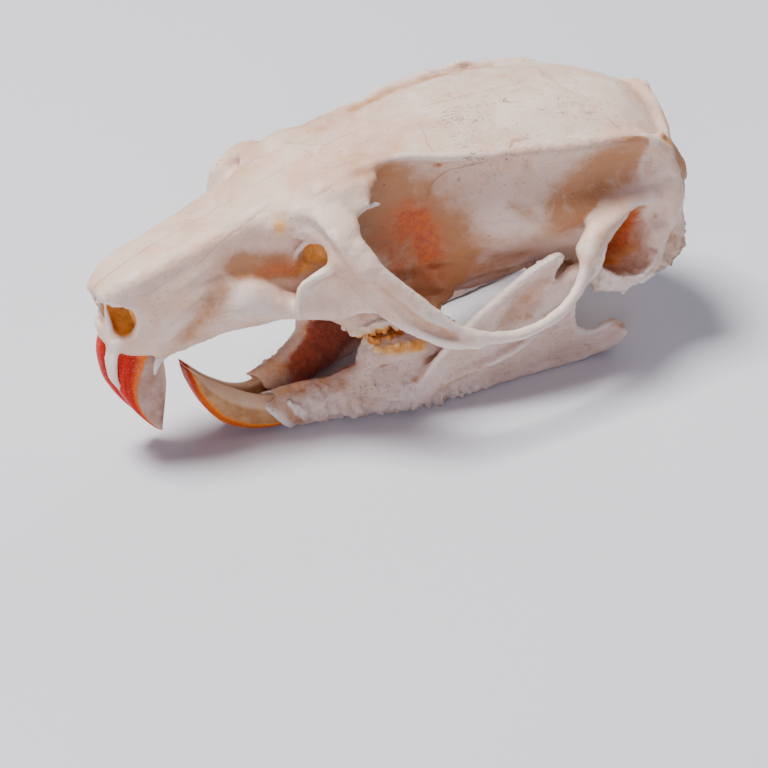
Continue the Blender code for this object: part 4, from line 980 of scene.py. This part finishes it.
for side, word in ((-1, "left"), (1, "right")):
    inner, outer = sorted((-1.4 * side, 10.4 * side))
    jaw = BoneField((9.4, inner, -0.9), (38.4, outer, 12.0), 0.13, side)
    top = 0.0 if side < 0 else -0.75
    jaw.rod([(10.7, 1.2, 1.65, 1.0, 1.15), (12.8, 1.65, 1.4, 1.15, 1.4),
             (15.0, 2.4, 1.45, 1.25, 1.5), (17.6, 3.2, 1.9, 1.35, 1.95),
             (20.6, 3.9, 2.2, 1.35, 2.3), (24.0, 4.7, 2.3, 0.9, 2.2),
             (26.0, 5.3, 2.2, 0.4, 1.6)], 0.4, steps=34)
    # Upper edge: low behind the incisor, then straight up in front of the teeth
    jaw.rod([(11.9, 1.4, 2.35 + top, 0.5, 0.35), (13.4, 1.7, 2.4 + top, 0.55, 0.4),
             (15.2, 2.4, 2.3 + top, 0.6, 0.4), (16.5, 2.9, 2.6 + top / 2, 0.7, 0.5),
             (17.2, 3.4, 3.6, 0.9, 0.65), (17.5, 3.6, 4.6, 1.0, 0.65)], 0.5)
    jaw.rod([(18.1, 3.75, 5.0, 1.3, 0.95), (19.2, 3.8, 4.9, 1.5, 1.0),
             (20.8, 3.85, 4.65, 1.5, 1.0), (22.8, 3.95, 4.3, 1.3, 0.95),
             (24.8, 4.1, 4.0, 0.6, 0.6)], 0.4)
    jaw.plate(ramus_outline,
              lambda x, z: (5.25 + 0.27 * z + 0.06 * (x - 26.0)
                            - 0.45 * np.exp(-((x - 28.6) / 2.8) ** 2 - ((z - 6.4) / 2.4) ** 2)),
              0.24, 0.6)
    # Front edge of the coronoid: a white bar that starts at the muscle knob and runs to the tip
    jaw.rod([(20.1, 5.15, 2.2, 0.4, 0.45), (21.2, 5.6, 3.3, 0.38, 0.42),
             (22.3, 6.2, 4.8, 0.36, 0.38), (23.4, 6.75, 6.3, 0.34, 0.34),
             (24.9, 7.25, 7.7, 0.32, 0.32), (26.6, 7.65, 9.0, 0.32, 0.32),
             (28.2, 7.95, 9.95, 0.32, 0.32), (29.4, 8.1, 10.35, 0.26, 0.28)], 0.22, steps=36)
    jaw.rod([(22.6, 6.1, 3.9, 0.3, 0.5), (24.6, 6.75, 5.6, 0.3, 0.45),
             (26.2, 7.2, 7.2, 0.15, 0.25)], 0.7)
    jaw.ball((19.9, 5.05, 2.05), (0.75, 0.55, 0.55), 0.5)
    # Crest for the chewing muscle: above it the side faces up, below it down
    jaw.rod([(19.6, 4.9, 1.5, 0.3, 0.4), (22.0, 5.75, 2.25, 0.36, 0.4),
             (24.6, 6.35, 2.65, 0.34, 0.36), (26.9, 6.75, 3.15, 0.3, 0.3),
             (29.0, 6.95, 4.0, 0.15, 0.15)], 0.5, steps=26)
    jaw.rod([(20.6, 4.6, 0.5, 0.5, 0.5), (24.0, 5.05, 0.35, 0.45, 0.4),
             (28.0, 5.5, 0.35, 0.4, 0.35), (31.4, 5.9, 0.3, 0.4, 0.35),
             (34.0, 6.3, 0.5, 0.42, 0.4), (36.0, 6.7, 1.0, 0.42, 0.5),
             (36.7, 6.85, 1.5, 0.35, 0.45)], 0.5, steps=30)
    jaw.rod([(28.6, 7.2, 6.0, 0.3, 0.5), (30.2, 7.5, 7.0, 0.4, 0.6),
             (31.5, 7.75, 8.1, 0.5, 0.55)], 0.8)
    jaw.ball((31.9, 7.8, 8.3), (1.15, 0.68, 0.55), 0.5)
    # Incisor root swelling on the outer side
    jaw.rod([(16.5, 3.5, 1.4, 0.7, 0.8), (19.0, 4.3, 1.3, 0.8, 0.8),
             (21.6, 4.9, 1.6, 0.5, 0.5)], 1.0)
    # Hollows: muscle fossa behind the bar, canal openings
    jaw.rod([(25.8, 8.2, 6.2, 0.9, 1.0), (27.6, 8.6, 7.4, 1.2, 1.4),
             (29.2, 9.1, 8.8, 0.7, 0.9)], 0.3, carve=True)
    jaw.rod([(22.6, 7.4, 1.2, 0.9, 0.7), (26.0, 7.7, 1.5, 1.2, 1.0),
             (30.0, 8.0, 2.2, 1.0, 1.0)], 0.5, carve=True)
    jaw.ball((25.0, 4.6, 4.9), (0.7, 0.7, 0.5), 0.3, carve=True)
    jaw.rod([(19.5, 2.0, 1.2, 0.5, 0.6), (23.0, 3.4, 1.0, 0.7, 0.7),
             (26.5, 4.4, 1.4, 0.5, 0.6)], 0.8, carve=True)
    # Open socket that the incisor comes out of. The front is cut back on a slant, the lower
    # edge flat for the table, and the inner side where the other half begins
    jaw.rod([(px, 0.72 + 0.28 * max(0.0, px - 9.0), pz, wide, high) for px, pz, wide, high in (
        (12.6, 1.55, 0.5, 0.8), (11.6, 1.5, 0.7, 1.12), (10.4, 1.75, 0.74, 1.2),
        (9.0, 2.1, 0.74, 1.2))], 0.1, carve=True)
    gx, gy, gz = jaw.grid()
    cut_x = 12.05 if side < 0 else 13.1
    jaw.cut((cut_x + 0.12 * np.sin(gz * 5.1 + 2.0 * gy) - 0.72 * np.minimum(gz, 2.4)
             + 0.25 * np.maximum(0.0, 1.6 - side * gy) - gx) * 0.8)
    jaw.cut(-gz)
    jaw.cut(0.12 - side * gy)
    # Thickened lip of the socket
    if side < 0:
        jaw.rod([(10.45, 2.05, 2.3, 0.14, 0.17), (11.2, 2.3, 1.25, 0.14, 0.17),
                 (11.85, 2.35, 0.5, 0.14, 0.17), (12.3, 2.15, 0.24, 0.14, 0.17)], 0.15)
        jaw.rod([(11.9, 2.5, 2.35, 0.17, 0.17), (12.35, 2.62, 1.7, 0.17, 0.17),
                 (12.9, 2.72, 1.0, 0.17, 0.17)], 0.2)
        for px, py, pz, pr in ((12.6, 1.6, 0.15, 0.22), (12.3, 1.9, 0.22, 0.16),
                               (12.9, 1.3, 0.12, 0.15)):
            jaw.ball((px, py, pz), (pr, pr, pr), 0.1)
    crumbs = np.random.default_rng(21 + side)
    for _ in range(26):
        along = crumbs.uniform(0.0, 1.0)
        crumb = crumbs.uniform(0.12, 0.28)
        jaw.ball((17.2 + 4.6 * along, 4.75 + crumbs.uniform(-0.3, 0.25),
                  5.75 - 0.7 * along + crumbs.uniform(-0.5, 0.3)),
                 (crumb, crumb * 0.8, crumb), 0.15)
    points, faces, outward = jaw.skin(0.012)
    x, y, z = points.T
    left_and_right = np.stack([x, -np.abs(y), z], axis=1)
    tight = jaw.sample(jaw.crowding(0.4), points)
    wide = jaw.sample(jaw.crowding(1.2), points)
    inner_face = rise(-side * outward[:, 1], 0.1, 0.7)
    umber = np.maximum.reduce([
        painted(0.62, 1.5, [(25.8, -7.0, 5.8), (27.6, -7.4, 7.2), (29.2, -7.8, 8.6)])
        * rise(side * outward[:, 1], 0.0, 0.4),
        painted(0.62, 0.7, [(25.8, -6.8, 5.8), (27.6, -6.9, 5.6), (29.4, -7.0, 5.4)]),
        painted(0.6, 0.32,
                [(26.2, -7.0, 6.3), (26.9, -7.2, 7.3), (27.9, -7.4, 8.3), (29.4, -7.7, 9.1)]),
        painted(0.5, 0.5, [(16.4, -4.2, 1.7), (17.2, -4.5, 1.5)],
                [(20.6, -5.3, 1.2), (21.4, -5.5, 1.0)]),
        painted(0.62, 0.8, [(11.0, -1.8, 2.9), (13.4, -2.4, 2.8), (15.6, -3.2, 2.8)]),
        painted(0.42 if side > 0 else 0.0, 1.6,
                [(10.8, -0.6, 2.2), (12.4, -0.9, 1.8), (14.4, -1.3, 1.9)]),
        painted(0.55, 0.6, [(17.6, -4.5, 5.3), (20.4, -4.8, 5.2), (23.0, -4.8, 4.8)]),
        painted(0.6, 0.5, [(36.0, -6.8, 2.4), (36.8, -6.9, 2.0)]),
        painted(0.85, 0.8, [(11.0, -2.2, 2.5), (11.8, -2.5, 1.7), (12.6, -2.6, 0.8)]),
        painted(0.8, 0.34,
                [(19.8, -5.2, 1.6), (22.2, -5.9, 2.0), (24.8, -6.5, 2.3), (27.0, -6.9, 2.7)]),
        painted(0.7, 0.32, [(19.9, -5.4, 2.7), (21.0, -5.8, 3.6), (22.6, -6.4, 4.8)])])
    amber = 1.4 * inner_face * painted(1.0, 2.3,
                                       [(16.0, -1.9, 1.8), (17.4, -2.5, 2.4), (19.4, -3.0, 3.0),
                                        (23.0, -4.2, 3.4), (27.0, -6.0, 5.0)])
    amber = np.maximum(amber,
                       painted(0.42, 0.4, [(17.4, -5.0, 5.9), (18.6, -5.2, 5.5)],
                               [(20.0, -5.1, 5.2), (21.0, -5.1, 5.0)]))
    ochre = np.maximum(
        painted(0.8, 0.55, [(17.4, -4.9, 5.8), (18.6, -5.1, 5.5), (20.6, -5.1, 5.1)]),
        painted(0.42, 1.0, [(10.4, -1.2, 2.9), (12.4, -1.5, 3.0), (14.6, -2.2, 2.9)]))
    if side > 0:
        ochre = np.maximum(ochre,
                           painted(0.48, 1.3,
                                   [(11.4, -1.0, 2.0), (13.4, -1.4, 2.4), (15.6, -2.2, 2.6),
                                    (16.8, -2.9, 3.9)]))
    rough = painted(1.0, 1.2,
                    [(13.4, -2.9, 1.6), (15.4, -3.6, 1.3), (17.2, -4.4, 1.5), (19.0, -5.0, 1.1),
                     (21.6, -5.3, 0.7), (24.4, -5.6, 0.6)])
    streaks = painted(1.0 if side < 0 else 0.0, 0.26,
                      [(10.4, -2.2, 2.3), (11.2, -2.45, 1.25), (11.85, -2.5, 0.5),
                       (12.3, -2.3, 0.2)],
                      [(11.9, -2.7, 2.35), (12.35, -2.8, 1.7), (12.9, -2.9, 1.0)])
    umber = umber * (1.0 - 0.9 * streaks)
    points = ruffle(points, outward, 0.06 + 0.10 * rough, 1.2, 5.0 + side)
    points = ruffle(points, outward, 0.04 + 0.42 * rough, 0.42, 11.0 + side)
    points[:, 2] = np.maximum(points[:, 2], 0.02)
    # Tight corners of each jaw half are darkened with painted shade
    mandible = make_skin("mandible_bone_" + word, points, faces, jaw_bone,
                         {"hollow_shade": np.maximum(rise(tight, 0.60, 0.80),
                                               0.6 * rise(wide, 0.62, 0.8)),
                          "amber": amber, "umber": umber, "ochre": ochre,
                          # Painted shade: crust's share of amber darkens the inner face further
                          "crust": 0.24 * rough + 0.12 * amber,
                          "pale": np.maximum(rise(-tight, -0.40, -0.26), 1.3 * streaks),
                          "speck": np.full(len(points), 0.5)}, JAW_TURN)
    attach(mandible, "root")
    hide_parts("mandible_" + word)


# Incisors: ever-growing curved rods, dentine with hard enamel on the front face only. The
# enamel holds iron, which stains it orange. The free end is ground to a chisel.
tooth_band, given, result = new_group(
    "enamel and dentine", [("Vector", "Vector"), ("Front", "Float"), ("Along", "Float"),
                           ("Back", "Float"), ("Enamel Deep", "Color"),
                           ("Enamel Bright", "Color"), ("Enamel Rim", "Color"),
                           ("Dentine Light", "Color"), ("Dentine Dark", "Color"),
                           ("Enamel Edge", "Float")],
    [("Color", "Color"), ("Enamel", "Float"), ("Height", "Float")])
waver = times(tooth_band, less(tooth_band, noise_at(tooth_band, given["Vector"], 1.1, 3.0), 0.5),
              0.10)
front = plus(tooth_band, given["Front"], waver)
past_edge = less(tooth_band, front, given["Enamel Edge"])
enamel_here = span_to(tooth_band, past_edge, 0.03, -0.03)
streak_place = add_node(tooth_band, "ShaderNodeCombineXYZ",
                        {"X": times(tooth_band, given["Front"], 9.0),
                         "Y": times(tooth_band, given["Along"],
                                    2.2)})
streak = noise_at(tooth_band, streak_place.outputs["Vector"], 1.6, 4.0, 0.6)
cloud = noise_at(tooth_band, given["Vector"], 0.8, 4.0, 0.6)
deep = plus(tooth_band, span_to(tooth_band, streak, 0.35, 0.70),
            span_to(tooth_band, given["Along"], 0.55, 1.0, 0.0, 0.7))
enamel_tint = blend_colour(tooth_band, deep, given["Enamel Bright"], given["Enamel Deep"])
edge_here = times(tooth_band, span_to(tooth_band, past_edge, -0.24, -0.04),
                  span_to(tooth_band, streak, 0.25, 0.55, 0.4, 1.0))
enamel_tint = blend_colour(tooth_band, edge_here, enamel_tint, given["Enamel Rim"])
craze = noise_at(tooth_band, given["Vector"], 2.6, 6.0, 0.75, 2.5)
craze_here = times(tooth_band, span_to(tooth_band, craze, 0.55, 0.64),
                   span_to(tooth_band, given["Along"], 0.62, 0.50, 0.0, 0.4))
enamel_tint = blend_colour(tooth_band, craze_here, enamel_tint, (0.86, 0.36, 0.30, 1.0))
dentine_tint = blend_colour(tooth_band, span_to(tooth_band, cloud, 0.35, 0.68),
                            given["Dentine Light"], given["Dentine Dark"])
# Painted light: the back of each incisor is lighter, standing in for light where the snout shades
# the lower teeth
dentine_tint = blend_colour(tooth_band, span_to(tooth_band, given["Back"], 0.80, 0.97, 0.0, 0.8),
                            dentine_tint,
                            (0.86, 0.62, 0.42, 1.0))
tooth_tint = blend_colour(tooth_band, enamel_here, dentine_tint, enamel_tint)
relief = plus(tooth_band, times(tooth_band, streak, 0.5),
              times(tooth_band, enamel_here, 0.6))
for label, source in (("Color", tooth_tint), ("Enamel", enamel_here), ("Height", relief)):
    tooth_band.links.new(source, result.inputs[label])


def make_tooth_material(name, deep, bright, rim, light, dark, edge):
    material = bpy.data.materials.new(name)
    material.use_nodes = True
    tree = material.node_tree
    shader = tree.nodes["Principled BSDF"]
    where = tree.nodes.new("ShaderNodeTexCoord").outputs["Object"]
    in_mm = add_node(tree, "ShaderNodeVectorMath", {0: where, "Scale": 1000.0},
                     operation="SCALE").outputs["Vector"]
    band = add_node(tree, "ShaderNodeGroup", node_tree=tooth_band)
    tree.links.new(in_mm, band.inputs["Vector"])
    for label, mark in (("Front", "front"), ("Along", "along"), ("Back", "back")):
        tree.links.new(add_node(tree, "ShaderNodeAttribute", attribute_name=mark).outputs["Fac"],
                       band.inputs[label])
    for label, value in (("Enamel Deep", deep), ("Enamel Bright", bright), ("Enamel Rim", rim),
                         ("Dentine Light", light),
                         ("Dentine Dark", dark), ("Enamel Edge", edge)):
        band.inputs[label].default_value = value
    tree.links.new(band.outputs["Color"], shader.inputs["Base Color"])
    tree.links.new(span_to(tree, band.outputs["Enamel"], 0.0, 1.0, 0.55, 0.45),
                   shader.inputs["Roughness"])
    bump = add_node(tree, "ShaderNodeBump",
                    {"Height": band.outputs["Height"], "Strength": 0.5, "Distance": 0.00006})
    tree.links.new(bump.outputs["Normal"], shader.inputs["Normal"])
    shader.inputs["IOR"].default_value = 1.25
    return material


def make_incisor(name, front_line, back_line, wrap, width, y, side, spread, material, turn=0.0,
                 slope=0.0):
    """A tooth between its front and back lines in side view, squared off in section. wrap gives
    how far the enamel reaches round the side, in mm, from the root to the tip, and slope how
    much of its depth the back loses towards the outer side."""
    steps, sides = 90, 44
    front_line = smooth_curve(front_line, steps)
    back_line = smooth_curve(back_line, steps)
    points, front, along, back = [], [], [], []
    for i in range(steps):
        share = i / (steps - 1)
        inward = back_line[i] - front_line[i]
        depth = np.linalg.norm(inward)
        full = min(1.0, 0.70 + 1.2 * share) * min(1.0, 0.62 + 0.38 * depth / 0.8)
        reach = np.interp(share, np.linspace(0.0, 1.0, len(wrap)), wrap)
        for k in range(sides):
            turn_k = 2 * math.pi * k / sides
            square = 0.62 if math.cos(turn_k) > 0.0 or slope else 0.85
            upright = -math.copysign(abs(math.cos(turn_k)) ** square, math.cos(turn_k))
            across = math.copysign(abs(math.sin(turn_k)) ** (square - 0.04), math.sin(turn_k))
            narrow = 1.0 - 0.14 * (upright + 1.0) / 2.0
            px, pz = front_line[i] + inward * (upright + 1.0) / 2.0 * (
                1.0 - slope * min(1.0, depth / 1.5) * (1.0 + side * across) / 2.0)
            py = y + width / 2.0 * full * across * narrow
            points.append((px, py + side * spread * max(0.0, px - 9.0), pz))
            front.append(0.5 * (upright + 1.0) / 2.0 * depth / reach)
            along.append(share)
            back.append((upright + 1.0) / 2.0)
    faces = []
    for i in range(steps - 1):
        for k in range(sides):
            j = (k + 1) % sides
            faces.append([i * sides + k, i * sides + j, (i + 1) * sides + j, (i + 1) * sides + k])
    for end in (0, steps - 1):
        middle = len(points)
        points.append(tuple(np.mean(points[end * sides:(end + 1) * sides], axis=0)))
        front.append(0.5)
        along.append(end / (steps - 1))
        back.append(0.5)
        faces += [[end * sides + k, end * sides + (k + 1) % sides, middle] for k in range(sides)]
    piece = make_skin(name, np.array(points), faces, material,
                      {"front": np.array(front), "along": np.array(along), "back": np.array(back)},
                      turn)
    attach(piece, "root")
    return piece


upper_enamel = make_tooth_material("upper incisor enamel", (0.40, 0.002, 0.0, 1.0),
                                   (0.60, 0.015, 0.0, 1.0),
                                   (0.80, 0.17, 0.01, 1.0), (0.56, 0.38, 0.32, 1.0),
                                   (0.40, 0.22, 0.15, 1.0), 0.5)
lower_enamel = make_tooth_material("lower incisor enamel", (0.36, 0.012, 0.001, 1.0),
                                   (0.74, 0.15, 0.006, 1.0),
                                   (0.86, 0.24, 0.012, 1.0), (0.60, 0.33, 0.15, 1.0),
                                   (0.42, 0.19, 0.075, 1.0), 0.5)
upper_front = [(0.95, 9.6), (0.58, 8.9), (0.46, 8.0), (0.52, 7.0), (0.75, 5.9), (1.2, 4.9),
               (1.8, 3.9), (2.45, 3.05), (3.05, 2.4), (3.6, 2.0)]
upper_back = [(3.9, 9.4), (3.85, 8.8), (3.9, 8.0), (4.02, 7.2), (4.15, 6.3), (4.18, 5.3),
              (4.1, 4.4), (3.95, 3.5), (3.78, 2.7), (3.7, 2.05)]
upper_wrap = (2.3, 2.3, 2.1, 1.6, 1.05, 0.6, 0.36, 0.2, 0.14, 0.1)
lower_front = [(14.4, 1.0), (12.9, 0.66), (11.4, 0.25), (9.4, 0.5), (7.7, 1.5), (6.5, 3.0),
               (5.7, 4.5), (5.28, 5.7), (5.08, 6.55)]
lower_back = [(14.6, 2.5), (13.0, 2.4), (11.4, 2.4), (10.2, 2.75), (9.0, 3.4), (7.8, 4.2),
              (6.7, 5.05), (5.8, 5.95), (5.16, 6.6)]
lower_wrap = (0.5, 0.55, 0.62, 0.78, 0.85, 0.78, 0.6, 0.42, 0.3)
for side, word in ((-1, "left"), (1, "right")):
    back = 0.22 if side < 0 else -0.10
    tooth = make_incisor("upper_incisor_tooth_" + word,
                         [(px + back * min(1.0, 1.3 - 0.15 * k), pz) for k,
                          (px, pz) in enumerate(upper_front)],
                         [(px + back / 2.0 * min(1.0, 1.3 - 0.15 * k), pz) for k,
                          (px, pz) in enumerate(upper_back)],
                         upper_wrap, 1.54,
                         side * 0.81, side, 0.0, upper_enamel)
    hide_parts("upper_incisor_" + word)
    back = 0.085 if side > 0 else 0.0
    tooth = make_incisor("lower_incisor_tooth_" + word,
                         [(px + back * k * 0.85, pz - 0.085 * back * k * k) for k,
                          (px, pz) in enumerate(lower_front)],
                         [(px + back * k * 0.85,
                           pz + (0.26 * math.sin(k * 0.39) if side < 0 else -0.085 * back * k * k))
                          for k, (px, pz) in enumerate(lower_back)],
                         lower_wrap, 1.30,
                         side * 0.67, side, 0.28, lower_enamel, JAW_TURN,
                         0.34 if side < 0 else 0.1)
    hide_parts("lower_incisor_" + word)


# Cheek teeth: three on each side above and below, low crowns with cross ridges, worn flat
# where they meet, cream enamel with painted shade in the valleys and soil where the rows meet.
BITE_GAP = 0.15   # from the height where the teeth meet to each tooth's ground end
MOLAR_GAP = 0.25  # between one tooth of a row and the next
molar_lengths = (2.8, 2.1, 1.6)
upper_widths = (2.0, 1.9, 1.6)
lower_widths = (1.65, 1.6, 1.4)
molar_enamel = make_bone("molar enamel", (0.74, 0.60, 0.42, 1.0), (0.66, 0.46, 0.26, 1.0),
                         (1.0, 1.0, 1.4), 0.30)


def bite_height(x):
    """The height where upper and lower cheek teeth meet."""
    return 6.5 - (x - 16.2) / 7.5


for side, word in ((-1, "left"), (1, "right")):
    for upper in (True, False):
        start = 16.2 if upper else 17.2
        row_y = side * (3.55 if upper else 3.65)
        away = 1.0 if upper else -1.0
        for index, length in enumerate(molar_lengths):
            width = (upper_widths if upper else lower_widths)[index]
            lobes = (3, 2, 2)[index]
            centre = start + length / 2.0
            bite = bite_height(centre) + away * BITE_GAP
            tooth = BoneField((start - 0.7, row_y - 1.7, bite - 3.0),
                              (start + length + 0.7, row_y + 1.7, bite + 3.0), 0.075)
            for lobe in range(lobes):
                lobe_x = start + length * (lobe + 0.5) / lobes
                narrow = 1.0 - 0.10 * abs(lobe - (lobes - 1) / 2.0)
                half = length / lobes * 0.5
                for inner in (-1, 1):
                    tooth.rod([(lobe_x, row_y + inner * width * 0.17, bite + away * 1.9,
                                half * 0.8, width * 0.20),
                               (lobe_x, row_y + inner * width * 0.24 * narrow, bite + away * 0.9,
                                half * 0.98, width * 0.27),
                               (lobe_x + 0.10, row_y + inner * width * 0.22 * narrow,
                                bite - away * 0.2, half * 0.86, width * 0.24)],
                              0.22, steps=6)
            for lobe in range(lobes):
                lobe_x = start + length * (lobe + 0.5) / lobes + 0.06
                tooth.ball((lobe_x, row_y, bite - away * 0.06),
                           (length / lobes * 0.26, width * 0.34, 0.2), 0.08, carve=True)
            gx, _, gz = tooth.grid()
            tooth.cut(away * (bite_height(gx) + away * BITE_GAP - gz))
            points, faces, outward = tooth.skin(0.01)
            start += length + MOLAR_GAP
            gum = rise(away * (points[:, 2] - bite), 0.5, 1.0)
            contact = rise(-np.abs(points[:, 2] - bite), -0.45, -0.1)
            tight = tooth.sample(tooth.crowding(0.2), points)
            row = "upper" if upper else "lower"
            points = ruffle(points, outward, 0.10, 0.5, 4.0 + index)
            points = ruffle(points, outward, 0.14 * contact, 0.28, 14.0 + index)
            # The valleys between the cusps are darkened with painted shade
            crown = make_skin("%s_molar_crown_%s_%d" % (row, word, index + 1), points, faces,
                              molar_enamel,
                              {"hollow_shade": rise(tight, 0.56, 0.72), "amber": 0.55 * contact,
                               "ochre": np.maximum(0.5 * gum, 0.85 * contact),
                               "umber": 0.6 * gum, "crust": 0.3 * contact,
                               "pale": rise(-tight, -0.42, -0.3)},
                              0.0 if upper else JAW_TURN)
            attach(crown, "root")
            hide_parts("%s_molar_%s_%d" % (row, word, index + 1))
